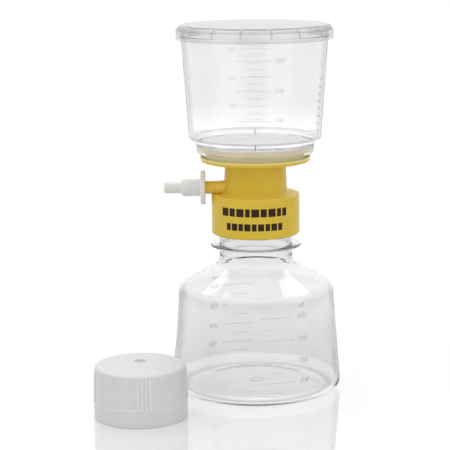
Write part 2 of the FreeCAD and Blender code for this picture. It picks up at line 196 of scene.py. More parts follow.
@dataclass
class Shell:
    """Vertices and faces of one piece while it is put together, in millimetres."""

    points: list[tuple[float, float, float]] = field(default_factory=list)
    faces: list[tuple[int, ...]] = field(default_factory=list)

    def add(self, points: np.ndarray, faces: Sequence[Sequence[int]]) -> None:
        """Add a mesh.

        Args:
            points: One row for each vertex.
            faces: Vertex numbers of each face, counted from the first of these points.
        """
        first = len(self.points)
        self.points += [tuple(p) for p in np.asarray(points, float).tolist()]
        self.faces += [tuple(first + v for v in f) for f in faces]

    def lathe(
        self,
        outline: Outline,
        angles: Optional[np.ndarray] = None,
        closed: bool = True,
        warp: Optional[Callable[[np.ndarray, np.ndarray, np.ndarray], np.ndarray]] = None,
        place: Optional[Matrix] = None,
    ) -> np.ndarray:
        """Turn an outline about the upright axis.

        Args:
            outline: (r, z) rows, counterclockwise around the material.
            angles: Angles of the columns in radians; 192 even ones if left out.
            closed: True for a ring, False for an outline that starts and ends on the axis.
            warp: Gives each point's radius from the plain radius, height and angle.
            place: Moves the finished form, for one whose axis isn't upright.

        Returns:
            The radius of every point, one row for each point of the outline.
        """
        if angles is None:
            angles = columns(192)
        rows, across = len(outline), len(angles)
        radii = np.repeat(outline[:, :1], across, axis=1)
        heights = np.repeat(outline[:, 1:], across, axis=1)
        turns = np.repeat(angles[None, :], rows, axis=0)
        if warp is not None:
            radii = warp(radii, heights, turns)
        grid = np.stack([radii * np.cos(turns), radii * np.sin(turns), heights], axis=-1)
        points: list[np.ndarray] = []
        index = np.zeros((rows, across), int)
        for i in range(rows):
            if not closed and i in (0, rows - 1):
                index[i, :] = len(points)
                points.append(grid[i, 0])
            else:
                index[i, :] = np.arange(len(points), len(points) + across)
                points.extend(grid[i])
        faces = []
        for i in range(rows if closed else rows - 1):
            here, above = index[i], index[(i + 1) % rows]
            for j in range(across):
                k = (j + 1) % across
                loop = [here[j], here[k], above[k], above[j]]
                faces.append(tuple(int(v) for n, v in enumerate(loop) if v not in loop[:n]))
        cloud = np.array(points)
        if place is not None:
            turn, shift = np.array(place.to_3x3()), np.array(place.translation)
            cloud = cloud @ turn.T + shift
        self.add(cloud, faces)
        return radii

    def block(self, centre: Sequence[float], size: Sequence[float], angle: float, edge: float = 0.15) -> None:
        """Add an upright block with chamfered edges.

        Args:
            centre: Its centre's distance out from the axis, sideways offset and height.
            size: Its radial depth, width and height.
            angle: Direction of the block from +X about the upright axis, in degrees.
            edge: Width of the chamfer.
        """
        half = [s / 2 for s in size]
        cut = min(edge, *(0.4 * s for s in size))
        plan = []
        for sx, sy in ((1, 1), (-1, 1), (-1, -1), (1, -1)):
            a = (sx * half[0], sy * (half[1] - cut))
            b = (sx * (half[0] - cut), sy * half[1])
            plan += [a, b] if sx * sy > 0 else [b, a]
        c, s = math.cos(math.radians(angle)), math.sin(math.radians(angle))
        levels = (
            (-half[2], 1 - cut / half[0], 1 - cut / half[1]),
            (-half[2] + cut, 1, 1),
            (half[2] - cut, 1, 1),
            (half[2], 1 - cut / half[0], 1 - cut / half[1]),
        )
        points = []
        for dz, kx, ky in levels:
            for x, y in plan:
                px, py = centre[0] + x * kx, centre[1] + y * ky
                points.append((px * c - py * s, px * s + py * c, centre[2] + dz))
        n = len(plan)
        faces = [
            (i * n + j, i * n + (j + 1) % n, (i + 1) * n + (j + 1) % n, (i + 1) * n + j)
            for i in range(3)
            for j in range(n)
        ]
        faces += [tuple(reversed(range(n))), tuple(range(3 * n, 4 * n))]
        self.add(np.array(points), faces)

    def build(self, name: str, crease: float = 40.0) -> bpy.types.Object:
        """Make the object.

        Args:
            name: The piece's name.
            crease: Edges that bend more than this are shown sharp, in degrees.

        Returns:
            The new object, with outward faces and smooth shading.
        """
        mesh = bpy.data.meshes.new(name)
        mesh.from_pydata((np.array(self.points) * MM).tolist(), [], self.faces)
        work = bmesh.new()
        work.from_mesh(mesh)
        bmesh.ops.recalc_face_normals(work, faces=work.faces)
        work.to_mesh(mesh)
        work.free()
        mesh.polygons.foreach_set("use_smooth", [True] * len(mesh.polygons))
        mesh.set_sharp_from_angle(angle=math.radians(crease))
        made = bpy.data.objects.new(name, mesh)
        bpy.context.scene.collection.objects.link(made)
        return made


@dataclass(frozen=True)
class Thread:
    """Right-handed ridge shared by the bottle's neck, the collar and the cap."""

    start: float
    turns: float
    lead: float = 4.0
    height: float = 1.5
    root: float = 2.2
    crest: float = 1.0
    run_out: float = 18.0

    def rise(self, heights: np.ndarray, angles: np.ndarray) -> np.ndarray:
        """How far the ridge stands off its wall.

        Args:
            heights: Heights of the points.
            angles: Their angles in radians.

        Returns:
            The rise of each point.
        """
        out = np.zeros_like(heights)
        for k in range(math.ceil(self.turns)):
            turned = angles % TAU + k * TAU
            away = np.abs(heights - self.start - self.lead * turned / TAU)
            flank = np.clip((self.root / 2 - away) / ((self.root - self.crest) / 2), 0, 1)
            end = self.turns * TAU
            fade = np.minimum(turned, end - turned) / math.radians(self.run_out)
            out = np.maximum(out, self.height * flank * np.clip(fade, 0, 1))
        return out

    @property
    def top(self) -> float:
        """Height of the ridge's upper end."""
        return self.start + self.lead * self.turns + self.root


def lathe_points(spacing: float, low: float, high: float, coarse: float) -> Callable[[np.ndarray], float]:
    """Spacing rule for refined(), fine between two heights and coarse elsewhere."""
    return lambda place: spacing if low <= place[1] <= high else coarse


def thread_rows(thread: Thread, bore: float, spacing: float) -> Callable[[np.ndarray], float]:
    """Spacing rule for refined(), fine along a thread in a bore.

    Args:
        thread: The thread.
        bore: Radius of the bore.
        spacing: Distance between its rows.

    Returns:
        The rule.
    """
    low, high = thread.start - 1.5, thread.top
    return lambda place: spacing if abs(place[0] - bore) < 0.01 and low < place[1] < high else 60.0


# Finishes ------------------------------------------------------------------------------------------------


class Nodes:
    """A material's node tree while it is put together."""

    def __init__(
        self, name: str, tree: Optional[bpy.types.NodeTree] = None, output: str = "ShaderNodeOutputMaterial"
    ) -> None:
        """Start a material, or take over another node tree.

        Args:
            name: The material's name.
            tree: A tree that exists already.
            output: The type of the tree's output node.
        """
        self.material = None
        if tree is None:
            self.material = bpy.data.materials.new(name)
            self.material.use_nodes = True
            tree = self.material.node_tree
        self.tree = tree
        self.tree.nodes.clear()
        self.output = self.tree.nodes.new(output)

    def add(self, kind: str, **values: object) -> bpy.types.Node:
        """Add a node.

        Args:
            kind: The node's type.
            values: Its settings, and its sockets by name with underscores for spaces.

        Returns:
            The node.
        """
        node = self.tree.nodes.new(kind)
        for key, value in values.items():
            name = key.replace("_", " ")
            socket = next((s for s in node.inputs if s.name.lower() == name.lower()), None)
            if socket is None:
                setattr(node, key, value)
            elif isinstance(value, bpy.types.NodeSocket):
                self.tree.links.new(value, socket)
            else:
                socket.default_value = value
        return node

    def math(self, operation: str, *values: object) -> bpy.types.NodeSocket:
        """Work out a sum.

        Args:
            operation: Which sum.
            values: Sockets or numbers, in order.

        Returns:
            The result.
        """
        node = self.tree.nodes.new("ShaderNodeMath")
        node.operation = operation
        for socket, value in zip(node.inputs, values):
            if isinstance(value, bpy.types.NodeSocket):
                self.tree.links.new(value, socket)
            else:
                socket.default_value = value
        return node.outputs[0]

    def mix(self, share: object, first: bpy.types.Node, second: bpy.types.Node) -> bpy.types.Node:
        """Mix two shaders.

        Args:
            share: Share of the second, a socket or a number.
            first: The first shader.
            second: The second shader.

        Returns:
            The mixing node.
        """
        node = self.add("ShaderNodeMixShader", Fac=share)
        self.tree.links.new(first.outputs[0], node.inputs[1])
        self.tree.links.new(second.outputs[0], node.inputs[2])
        return node

    def finish_clear(self, body: bpy.types.Node, passing: tuple[float, float, float]) -> None:
        """Make a shader the surface, with lamps shining through it.

        Args:
            body: The shader that the eye sees.
            passing: Share of a lamp's light that each face lets through.
        """
        open_way = self.add("ShaderNodeBsdfTransparent", Color=(*passing, 1))
        ray = self.add("ShaderNodeLightPath").outputs["Is Shadow Ray"]
        self.tree.links.new(self.mix(ray, body, open_way).outputs[0], self.output.inputs["Surface"])

    def by_height(self, colour: bpy.types.NodeSocket, levels: Levels) -> bpy.types.NodeSocket:
        """Paint light and shade into a colour along the piece's height, lighter or darker by height.

        Args:
            colour: The colour at full level.
            levels: Heights in mm, lowest first, each with its share of the colour.

        Returns:
            The colour at its level.
        """
        place = self.add("ShaderNodeSeparateXYZ", Vector=self.add("ShaderNodeTexCoord").outputs["Object"])
        low, high = levels[0][0], levels[-1][0]
        along = self.add(
            "ShaderNodeMapRange", Value=place.outputs["Z"], From_Min=low * MM, From_Max=high * MM
        )
        ramp = self.add("ShaderNodeValToRGB", Fac=along.outputs["Result"])
        stops = ramp.color_ramp.elements
        for height, _ in levels[1:-1]:
            stops.new((height - low) / (high - low))
        for stop, (_, share) in zip(stops, levels):
            stop.color = (share, share, share, 1)
        mix = self.add("ShaderNodeMix", data_type="RGBA", blend_type="MULTIPLY")
        mix.inputs[0].default_value = 1.0
        self.tree.links.new(colour, mix.inputs[6])
        self.tree.links.new(ramp.outputs[0], mix.inputs[7])
        return mix.outputs[2]

    def noise(self, scale: float, detail: float = 3.0, roughness: float = 0.55) -> bpy.types.NodeSocket:
        """Noise over the piece's own coordinates.

        Args:
            scale: Features to the metre.
            detail: Octaves.
            roughness: Weight of the finer octaves.

        Returns:
            The noise's value.
        """
        place = self.add("ShaderNodeTexCoord").outputs["Object"]
        return self.add(
            "ShaderNodeTexNoise", Vector=place, Scale=scale, Detail=detail, Roughness=roughness
        ).outputs["Fac"]

    def between(self, value: bpy.types.NodeSocket, low: float, high: float) -> bpy.types.NodeSocket:
        """A value taken from its middle range to low..high."""
        return self.add(
            "ShaderNodeMapRange", Value=value, From_Min=0.3, From_Max=0.7, To_Min=low, To_Max=high
        ).outputs["Result"]

    def blend(
        self, value: bpy.types.NodeSocket, first: Sequence[float], second: Sequence[float]
    ) -> bpy.types.NodeSocket:
        """Make a colour between two.

        Args:
            value: Socket whose middle range goes from the first to the second.
            first: The colour at the low end.
            second: The colour at the high end.

        Returns:
            The colour.
        """
        ramp = self.add("ShaderNodeValToRGB", Fac=value)
        ramp.color_ramp.elements[0].position = 0.35
        ramp.color_ramp.elements[1].position = 0.65
        ramp.color_ramp.elements[0].color = (*first, 1)
        ramp.color_ramp.elements[1].color = (*second, 1)
        return ramp.outputs["Color"]

    def bump(self, value: bpy.types.NodeSocket, depth: float, strength: float = 1.0) -> bpy.types.NodeSocket:
        """A normal from a height.

        Args:
            value: The height, 0 to 1.
            depth: How deep 1 is, in millimetres.
            strength: Share of the effect.

        Returns:
            The bent normal.
        """
        return self.add(
            "ShaderNodeBump", Height=value, Strength=strength, Distance=depth * MM
        ).outputs["Normal"]


@dataclass(frozen=True)
class ClearPlastic:
    """Clear moulded plastic that lets lamps through, with painted shade toward its outline."""

    name: str
    tint: tuple[float, float, float] = (0.95, 0.957, 0.957)
    dull: tuple[float, float, float] = (0.925, 0.935, 0.935)
    ior: float = 1.53
    smooth: float = 0.01
    rough: float = 0.05
    wave_scale: float = 45.0
    wave_depth: float = 0.05
    # Painted shade at the outline: share, start and grey of a diffuse mixed in where upright faces turn
    # edge-on.
    edge_share: float = 0.55
    edge_from: float = 0.72
    edge_tone: tuple[float, float, float] = (0.30, 0.30, 0.30)
    passing: tuple[float, float, float] = (0.985, 0.99, 0.99)
    # Painted light and shade: heights with the share of the colour at each, for a colour lighter or darker by
    # height.
    levels: Levels = ()

    def material(self) -> bpy.types.Material:
        """Make the finish.

        Returns:
            The node material.
        """
        n = Nodes(self.name)
        colour = n.blend(n.noise(60.0, 2.0), self.dull, self.tint)
        # Painted light and shade: the colour made lighter or darker by height.
        if self.levels:
            colour = n.by_height(colour, self.levels)
        body = n.add(
            "ShaderNodeBsdfPrincipled",
            Base_Color=colour,
            Roughness=n.between(n.noise(220.0), self.smooth, self.rough),
            IOR=self.ior,
            Transmission_Weight=1.0,
            Normal=n.bump(n.noise(self.wave_scale, 1.0), self.wave_depth),
        )
        # Painted shade: a grey diffuse mixed in where upright faces turn edge-on, darkening the clear wall
        # toward its outline.
        facing = n.add("ShaderNodeLayerWeight", Blend=0.5).outputs["Facing"]
        side = n.add(
            "ShaderNodeMapRange", Value=facing, From_Min=self.edge_from, From_Max=1.0, To_Max=self.edge_share
        ).outputs["Result"]
        normal = n.add("ShaderNodeTexCoord").outputs["Normal"]
        slope = n.math("ABSOLUTE", n.add("ShaderNodeSeparateXYZ", Vector=normal).outputs["Z"])
        upright = n.add(
            "ShaderNodeMapRange", Value=slope, From_Min=0.2, From_Max=0.4, To_Min=1.0, To_Max=0.0
        ).outputs["Result"]
        share = n.math("MULTIPLY", side, upright)
        edge = n.add("ShaderNodeBsdfDiffuse", Color=(*self.edge_tone, 1))
        n.finish_clear(n.mix(share, body, edge), self.passing)
        return n.material


@dataclass(frozen=True)
class MouldedPlastic:
    """Opaque moulded plastic with a fine grain."""

    name: str
    light: tuple[float, float, float]
    dark: tuple[float, float, float]
    smooth: float = 0.3
    rough: float = 0.42
    mottle_scale: float = 90.0
    grain_scale: float = 2600.0
    grain_depth: float = 0.02
    shine: float = 0.5
    glow: float = 0.0
    glow_radius: tuple[float, float, float] = (0.004, 0.003, 0.002)

    def material(self) -> bpy.types.Material:
        """Make the finish.

        Returns:
            The node material.
        """
        n = Nodes(self.name)
        body = n.add(
            "ShaderNodeBsdfPrincipled",
            Base_Color=n.blend(n.noise(self.mottle_scale, 4.0), self.dark, self.light),
            Roughness=n.between(n.noise(self.mottle_scale * 5), self.smooth, self.rough),
            Specular_IOR_Level=self.shine,
            Normal=n.bump(n.noise(self.grain_scale, 2.0), self.grain_depth),
        )
        if self.glow > 0:
            body.inputs["Subsurface Weight"].default_value = self.glow
            body.inputs["Subsurface Radius"].default_value = self.glow_radius
            body.inputs["Subsurface Scale"].default_value = 1.0
        n.tree.links.new(body.outputs[0], n.output.inputs["Surface"])
        return n.material


@dataclass(frozen=True)
class FrostedMark:
    """Raised graduation in clear plastic, seen by its dull top."""

    name: str
    tint: tuple[float, float, float] = (0.72, 0.73, 0.73)
    clear: float = 0.6
    rough: float = 0.35
    passing: tuple[float, float, float] = (0.98, 0.98, 0.98)

    def material(self) -> bpy.types.Material:
        """Make the finish.

        Returns:
            The node material.
        """
        n = Nodes(self.name)
        body = n.add(
            "ShaderNodeBsdfPrincipled",
            Base_Color=n.blend(n.noise(700.0), tuple(0.9 * t for t in self.tint), self.tint),
            Roughness=n.between(n.noise(1500.0), self.rough * 0.8, self.rough * 1.2),
            IOR=1.5,
            Transmission_Weight=self.clear,
        )
        n.finish_clear(body, self.passing)
        return n.material


@dataclass(frozen=True)
class FibreSheet:
    """White filter membrane or fibre, soft and dull."""

    name: str
    light: tuple[float, float, float] = (0.84, 0.84, 0.83)
    dark: tuple[float, float, float] = (0.79, 0.79, 0.78)
    fibre_scale: float = 1800.0

    def material(self) -> bpy.types.Material:
        """Make the finish.

        Returns:
            The node material.
        """
        n = Nodes(self.name)
        fibres = n.noise(self.fibre_scale, 5.0, 0.7)
        body = n.add(
            "ShaderNodeBsdfPrincipled",
            Base_Color=n.blend(fibres, self.dark, self.light),
            Roughness=n.between(fibres, 0.75, 0.95),
            Sheen_Weight=0.15,
            Normal=n.bump(fibres, 0.03),
        )
        n.tree.links.new(body.outputs[0], n.output.inputs["Surface"])
        return n.material


BOTTLE_CLEAR = ClearPlastic(
    "receiver_clear_plastic",
    dull=(0.96, 0.965, 0.965),
    tint=(0.98, 0.985, 0.985),
    ior=1.30,
    edge_share=0.62,
    edge_from=0.60,
    # Painted light and shade by height: the floor and the shoulder full bright, a painted highlight on the
    # shoulder, and the body and the neck darkened as painted shade.
    levels=(
        (0.0, 1.0), (5.5, 1.0), (7.5, 0.83), (26.0, 0.85), (48.0, 0.89), (56.0, 0.89), (62.0, 0.82),
        (67.0, 1.0), (78.0, 1.0), (83.0, 0.84), (89.0, 0.89), (100.0, 0.84), (125.0, 0.86),
    ),
)
CHAMBER_CLEAR = ClearPlastic(
    "chamber_clear_plastic",
    dull=(0.97, 0.975, 0.975),
    tint=(0.99, 0.995, 0.995),
    wave_depth=0.02,
    edge_share=0.5,
    edge_from=0.64,
    # Painted shade by height: the tapered wall above the foot darkened, the foot left at full level.
    levels=((149.0, 1.0), (169.0, 1.0), (177.0, 0.915), (226.0, 0.905)),
)
CHAMBER_SKIRT = ClearPlastic("chamber_skirt_plastic", dull=(0.97, 0.97, 0.96), tint=(0.985, 0.985, 0.98))
# Painted shade: a dark grey copy of the chamber's clear plastic for the foot's two outer corners.
CHAMBER_CORNER_SHADE = ClearPlastic("chamber_corner_painted_shade", dull=(0.50, 0.505, 0.505), tint=(0.55, 0.555, 0.555))
LID_CLEAR = ClearPlastic(
    "lid_clear_plastic",
    dull=(0.86, 0.865, 0.865),
    tint=(0.89, 0.895, 0.895),
    smooth=0.02,
    rough=0.06,
    wave_depth=0.02,
)
LID_FROST = FrostedMark("lid_frosted_top", tint=(0.865, 0.865, 0.865), clear=0.25, rough=0.42)
# Painted shade: a darker, rougher copy of the lid plastic for the sloped faces of its rounded shoulder.
LID_SHOULDER_SHADE = ClearPlastic(
    "lid_shoulder_painted_shade", dull=(0.70, 0.70, 0.70), tint=(0.74, 0.74, 0.74), smooth=0.15, rough=0.25
)
HEAD_YELLOW = MouldedPlastic(
    "yellow_moulded_plastic", light=(0.82, 0.59, 0.050), dark=(0.78, 0.55, 0.042), shine=0.3
)
# Painted light: a brighter copy of the head's yellow for the side arm and the collar's top face.
ARM_AND_SHELF_LIT = MouldedPlastic(
    "arm_and_shelf_painted_light", light=(0.97, 0.74, 0.11), dark=(0.94, 0.71, 0.10), shine=0.3
)
# Painted light: a paler copy of the head's yellow for the plate's lip band.
LIP_YELLOW_LIT = MouldedPlastic("lip_yellow_painted_light", light=(0.90, 0.75, 0.26), dark=(0.87, 0.72, 0.24))
# Painted light: a near-white copy of the head's yellow for the deck that lies in shade under the skirt.
DECK_YELLOW_LIT = MouldedPlastic("plate_deck_painted_light", light=(0.99, 0.90, 0.56), dark=(0.97, 0.88, 0.52))
SUPPORT_YELLOW = MouldedPlastic("pale_yellow_plastic", light=(0.97, 0.85, 0.58), dark=(0.95, 0.83, 0.55))
PRINT_DARK = MouldedPlastic(
    "dark_print", light=(0.030, 0.012, 0.004), dark=(0.022, 0.009, 0.003), smooth=0.5, rough=0.6, shine=0.2
)
ADAPTER_WHITE = MouldedPlastic(
    "milky_adapter_plastic", light=(0.87, 0.86, 0.82), dark=(0.84, 0.83, 0.79), glow=0.25
)
CAP_WHITE = MouldedPlastic("white_cap_plastic", light=(0.775, 0.775, 0.775), dark=(0.76, 0.76, 0.76))
# Painted highlight: a lighter copy of the cap's white for the ribs' outer faces.
CAP_RIB_HIGHLIGHT = MouldedPlastic("cap_rib_painted_highlight", light=(0.93, 0.93, 0.93), dark=(0.90, 0.90, 0.90))
# Painted shade: a darker copy of the cap's white for the sunk gate mark.
CAP_MARK_SHADE = MouldedPlastic("cap_gate_painted_shade", light=(0.56, 0.56, 0.56), dark=(0.50, 0.50, 0.50))
GASKET_GREY = MouldedPlastic(
    "gasket_rubber", light=(0.30, 0.30, 0.30), dark=(0.24, 0.24, 0.24), smooth=0.6, rough=0.75
)
MEMBRANE_WHITE = FibreSheet("filter_membrane", light=(0.94, 0.94, 0.935), dark=(0.91, 0.91, 0.905))
PLUG_WHITE = FibreSheet("filter_fibre", light=(0.85, 0.85, 0.82), dark=(0.70, 0.70, 0.67), fibre_scale=900.0)
MARK_FROSTED = FrostedMark("moulded_graduation", tint=(0.95, 0.95, 0.95), clear=0.86, rough=0.3)
MARK_FAINT = FrostedMark("faint_graduation", tint=(0.97, 0.97, 0.97), clear=0.92, rough=0.22)
MARK_DULL = FrostedMark("side_graduation", tint=(0.62, 0.62, 0.62), clear=0.5, rough=0.3)
# Painted shade: dark grey for the small clear ribs on the chamber's foot, standing for the dark line they
# show.
MARK_SHADE_GREY = FrostedMark("step_rib_painted_shade", tint=(0.34, 0.34, 0.34), clear=0.2, rough=0.3)

FINISHES: dict[str, bpy.types.Material] = {}


def finish_of(finish: object) -> bpy.types.Material:
    """The material of a finish, made once."""
    if finish.name not in FINISHES:
        FINISHES[finish.name] = finish.material()
    return FINISHES[finish.name]


def dress(
    piece: bpy.types.Object,
    finish: object,
    body: Optional[Body] = None,
    replaces: Sequence[str] = (),
) -> bpy.types.Object:
    """Give a piece its finish and its place in the frame.

    Args:
        piece: The object.
        finish: What it is made of.
        body: The body it rides on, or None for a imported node, which rides already.
        replaces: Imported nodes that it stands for.

    Returns:
        The same object.
    """
    piece.data.materials.clear()
    piece.data.materials.append(finish_of(finish))
    if replaces:
        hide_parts(*replaces)
    if body is not None:
        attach(piece, body.value)
    LOG.info("%s: %d vertices, finish %s", piece.name, len(piece.data.vertices), finish.name)
    return piece


def repaint(piece: bpy.types.Object, finish: object, chosen: Callable[[Vector, Vector], bool]) -> None:
    """Give some of a piece's faces another finish.

    Args:
        piece: The object, before it rides.
        finish: What those faces are made of.
        chosen: Tells from a face's centre, in mm, and its normal whether it is one of them.
    """
    piece.data.materials.append(finish_of(finish))
    number = len(piece.data.materials) - 1
    for face in piece.data.polygons:
        if chosen(face.center / MM, face.normal):
            face.material_index = number


# Scales --------------------------------------------------------------------------------------------------


def glyph_mesh(text: str, height: float, thick: float) -> tuple[np.ndarray, list[tuple[int, ...]]]:
    """Plain numerals as a flat solid.

    Args:
        text: What to write.
        height: Height of a numeral.
        thick: Depth of the solid.

    Returns:
        Its vertices (across, up, out), centred on the origin, and its faces.
    """
    curve = bpy.data.curves.new("numerals", "FONT")
    curve.body = text
    curve.align_x, curve.align_y = "CENTER", "CENTER"
    curve.size = height / 0.72
    curve.extrude = thick / 2
    curve.resolution_u = 3
    holder = bpy.data.objects.new("numerals", curve)
    bpy.context.scene.collection.objects.link(holder)
    bpy.context.view_layer.update()
    mesh = bpy.data.meshes.new_from_object(holder.evaluated_get(bpy.context.evaluated_depsgraph_get()))
    work = bmesh.new()
    work.from_mesh(mesh)
    bmesh.ops.remove_doubles(work, verts=work.verts, dist=1e-4)
    bmesh.ops.recalc_face_normals(work, faces=work.faces)
    points = np.array([v.co[:] for v in work.verts])
    faces = [tuple(v.index for v in f.verts) for f in work.faces]
    work.free()
    bpy.data.objects.remove(holder)
    bpy.data.curves.remove(curve)
    bpy.data.meshes.remove(mesh)
    return points, faces


@dataclass
class ScalePanel:
    """Moulded millilitre scale on a round wall."""

    wall: Callable[[float], float]
    azimuth: float
    major_from: float
    major_to: float
    minor_from: float
    minor_to: float
    label_at: float
    numeral: float = 3.0
    line: float = 0.34
    proud: float = 0.2
    sunk: float = 0.05
    shell: Shell = field(default_factory=Shell)

    def _wrap(self, flat: np.ndarray, angle: float, height: float) -> np.ndarray:
        """Lay flat points (across, up, out) on the wall about an angle and a height."""
        z = height + flat[:, 1]
        r = np.array([self.wall(v) for v in z])
        a = math.radians(angle) + flat[:, 0] / r
        r = r + flat[:, 2]
        return np.stack([r * np.cos(a), r * np.sin(a), z], axis=-1)

    def bar(self, start: float, end: float, height: float, width: float) -> None:
        """Add a raised line along the wall.

        Args:
            start: Its first end, in degrees from the panel's middle.
            end: Its other end.
            height: Its height.
            width: How wide the line is.
        """
        r = self.wall(height)
        length = math.radians(end - start) * r
        parts = max(2, math.ceil(length / 1.5))
        across = np.linspace(-length / 2, length / 2, parts + 1)
        cut = min(width, self.proud) / 4
        section = [
            (-width / 2, -self.sunk), (width / 2, -self.sunk), (width / 2, self.proud - cut),
            (width / 2 - cut, self.proud), (-width / 2 + cut, self.proud), (-width / 2, self.proud - cut),
        ]
        n = len(section)
        flat = np.array([(x, up, out) for x in across for up, out in section])
        faces = [
            (i * n + j, i * n + (j + 1) % n, (i + 1) * n + (j + 1) % n, (i + 1) * n + j)
            for i in range(parts)
            for j in range(n)
        ]
        faces += [tuple(range(n)), tuple(parts * n + j for j in reversed(range(n)))]
        self.shell.add(self._wrap(flat, self.azimuth + (start + end) / 2, height), faces)

    def mark(self, kind: Mark, height: float, label: str = "") -> None:
        """Add a graduation.

        Args:
            kind: Long or short.
            height: Its height.
            label: Its numerals, if it has any.
        """
        if kind is Mark.MAJOR:
            self.bar(self.major_from, self.major_to, height, self.line)
        else:
            self.bar(self.minor_from, self.minor_to, height, self.line * 0.85)
        if label:
            self.write(label, self.label_at, height)

    def write(self, text: str, at: float, height: float) -> None:
        """Add numerals centred at an angle from the panel's middle."""
        points, faces = glyph_mesh(text, self.numeral, self.proud + self.sunk)
        points[:, 2] += (self.proud - self.sunk) / 2
        self.shell.add(self._wrap(points, self.azimuth + at, height), faces)


def level_of(volume: float, heights: np.ndarray, areas: np.ndarray) -> float:
    """Height that a volume fills to.

    The level rises evenly from one cross-section to the next, so a long taper needs close ones.

    Args:
        volume: Millilitres.
        heights: Heights of the cross-sections.
        areas: Their areas in square millimetres.

    Returns:
        The height of the liquid's surface.
    """
    order = np.argsort(heights)
    z, a = heights[order], areas[order]
    filled = np.concatenate([[0], np.cumsum((a[1:] + a[:-1]) / 2 * np.diff(z))]) / 1000
    return float(np.interp(volume, filled, z))


# Receiver ------------------------------------------------------------------------------------------------


@dataclass
class ReceiverBottle:
    """Blown clear bottle with two pressed grips, a bead, a threaded neck and its scales."""

    node: str = "receiver_bottle"
    base_r: float = 53.4
    body_taper: float = 5.0
    shoulder_slope: float = 29.0
    base_corner: float = 8.5
    shoulder_corner: float = 5.0
    throat_corner: float = 5.0
    wall: float = 1.5
    ring_inset: float = 11.0
    ring_corner: float = 10.0
    push_up: float = 2.0
    push_up_width: float = 12.0
    push_up_corner: float = 25.0
    floor_ring: tuple[float, float] = (3.9, 4.6)
    neck_r: float = 22.5
    neck_wall: float = 1.4
    neck_height: float = 39.3
    foot_step: float = 0.4
    foot_drop: float = 33.8
    bead_width: float = 5.7
    bead_drop: float = 27.2
    bead_edge: float = 1.0
    bead_root: float = 1.4
    grip_azimuths: tuple[float, float] = (202.0, 22.0)
    grip_depth: float = 3.0
    grip_foot: float = 7.0
    grip_top: float = 8.6
    grip_half_angle: float = 27.0
    grip_edge: float = 0.7
    thread_drop: float = 10.0
    fine_row: float = 0.9
    thread_row: float = 0.33
    marks: tuple[int, ...] = (50, 100, 150, 200, 250, 300, 350, 400)

    def __post_init__(self) -> None:
        """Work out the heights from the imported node."""
        self.lip = float(node_span(self.node)[1][2])
        self.neck_foot_r = self.neck_r + self.foot_step
        self.shoulder_r = self.base_r - self.body_taper
        self.throat = self.lip - self.neck_height
        drop = (self.shoulder_r - self.neck_foot_r) * math.tan(math.radians(self.shoulder_slope))
        self.shoulder = self.throat - drop
        self.taper = self.body_taper / self.shoulder
        self.thread = Thread(self.lip - self.thread_drop, 1.5)
        self._grip_ring()

    def _grip_ring(self) -> None:
        """Work out the ring whose hollow side leaves a grip."""
        half_height = (self.shoulder - self.grip_top - self.grip_foot) / 2
        self.grip_z = self.grip_foot + half_height
        wall_r = self.wall_at(self.grip_z)
        half = math.radians(self.grip_half_angle)
        chord = wall_r * math.sin(half)
        bulge = wall_r * (1 - math.cos(half)) - self.grip_depth
        level_r = (chord ** 2 + bulge ** 2) / (2 * bulge)
        self.ring_tube = (half_height ** 2 + self.grip_depth ** 2) / (2 * self.grip_depth)
        self.ring_r = level_r + self.ring_tube
        self.ring_x = wall_r - self.grip_depth - level_r

    def wall_at(self, height: float) -> float:
        """Outer radius of the plain wall at a height."""
        return self.base_r - self.taper * height

    def _pressed(self, radii: np.ndarray, heights: np.ndarray, away: np.ndarray, wall: float) -> np.ndarray:
        """Radii with one grip pressed in.

        Args:
            radii: Plain radii.
            heights: Heights of the points.
            away: Angles from the grip's middle, in radians.
            wall: 0 on the outer face, and the wall's thickness on the inner.

        Returns:
            The new radii, softened along the grip's edge.
        """
        tilt = math.atan(self.taper)
        c, s = math.cos(tilt), math.sin(tilt)
        tube = self.ring_tube + wall
        found = radii.copy()
        for _ in range(8):
            x = found * np.cos(away) - self.ring_x
            y = found * np.sin(away)
            z = heights - self.grip_z
            across, up = x * c + z * s, -x * s + z * c
            reach = np.hypot(across, y)
            gap = reach - self.ring_r + np.sqrt(np.maximum(tube ** 2 - up ** 2, 1.0))
            found = found - gap / np.maximum(np.cos(away), 0.3)
        near = (np.cos(away) > 0.6) & (np.abs(heights - self.grip_z) < self.shoulder / 2)
        found = np.where(near, found, radii + 10)
        overlap = np.maximum(self.grip_edge - np.abs(radii - found), 0) / self.grip_edge
        return np.minimum(radii, found) - overlap ** 2 * self.grip_edge / 4

    def _warp(self, outer: np.ndarray) -> Callable[[np.ndarray, np.ndarray, np.ndarray], np.ndarray]:
        """Rule that presses the grips in and raises the thread.

        Args:
            outer: True for the outline's points on the outside.

        Returns:
            The rule for Shell.lathe.
        """

        def rule(radii: np.ndarray, heights: np.ndarray, angles: np.ndarray) -> np.ndarray:
            """Press and raise all points.

            Args:
                radii: Plain radii.
                heights: Heights of the points.
                angles: Their angles in radians.

            Returns:
                The new radii.
            """
            made = radii.copy()
            body = (heights[:, 0] > self.grip_foot / 2) & (heights[:, 0] < self.shoulder - 2)
            body &= radii[:, 0] > self.shoulder_r - 4
            for side, wall in ((outer, 0.0), (~outer, self.wall)):
                rows = body & side
                for azimuth in self.grip_azimuths:
                    away = angles[rows] - math.radians(azimuth)
                    made[rows] = self._pressed(made[rows], heights[rows], away, wall)
            neck = outer & (heights[:, 0] > self.thread.start - self.thread.root)
            neck &= heights[:, 0] < self.thread.top
            made[neck] += self.thread.rise(heights[neck], angles[neck])
            return made

        return rule

    def _columns(self) -> np.ndarray:
        """Set out the mesh's columns.

        Returns:
            Their angles in radians, closer together across the grips.
        """
        found, angle = [], 0.0
        while angle < 360 - 0.4:
            found.append(angle)
            near = min(abs((angle - g + 180) % 360 - 180) for g in self.grip_azimuths)
            angle += 0.85 if near < 36 else 2.1
        return np.radians(np.array(found))

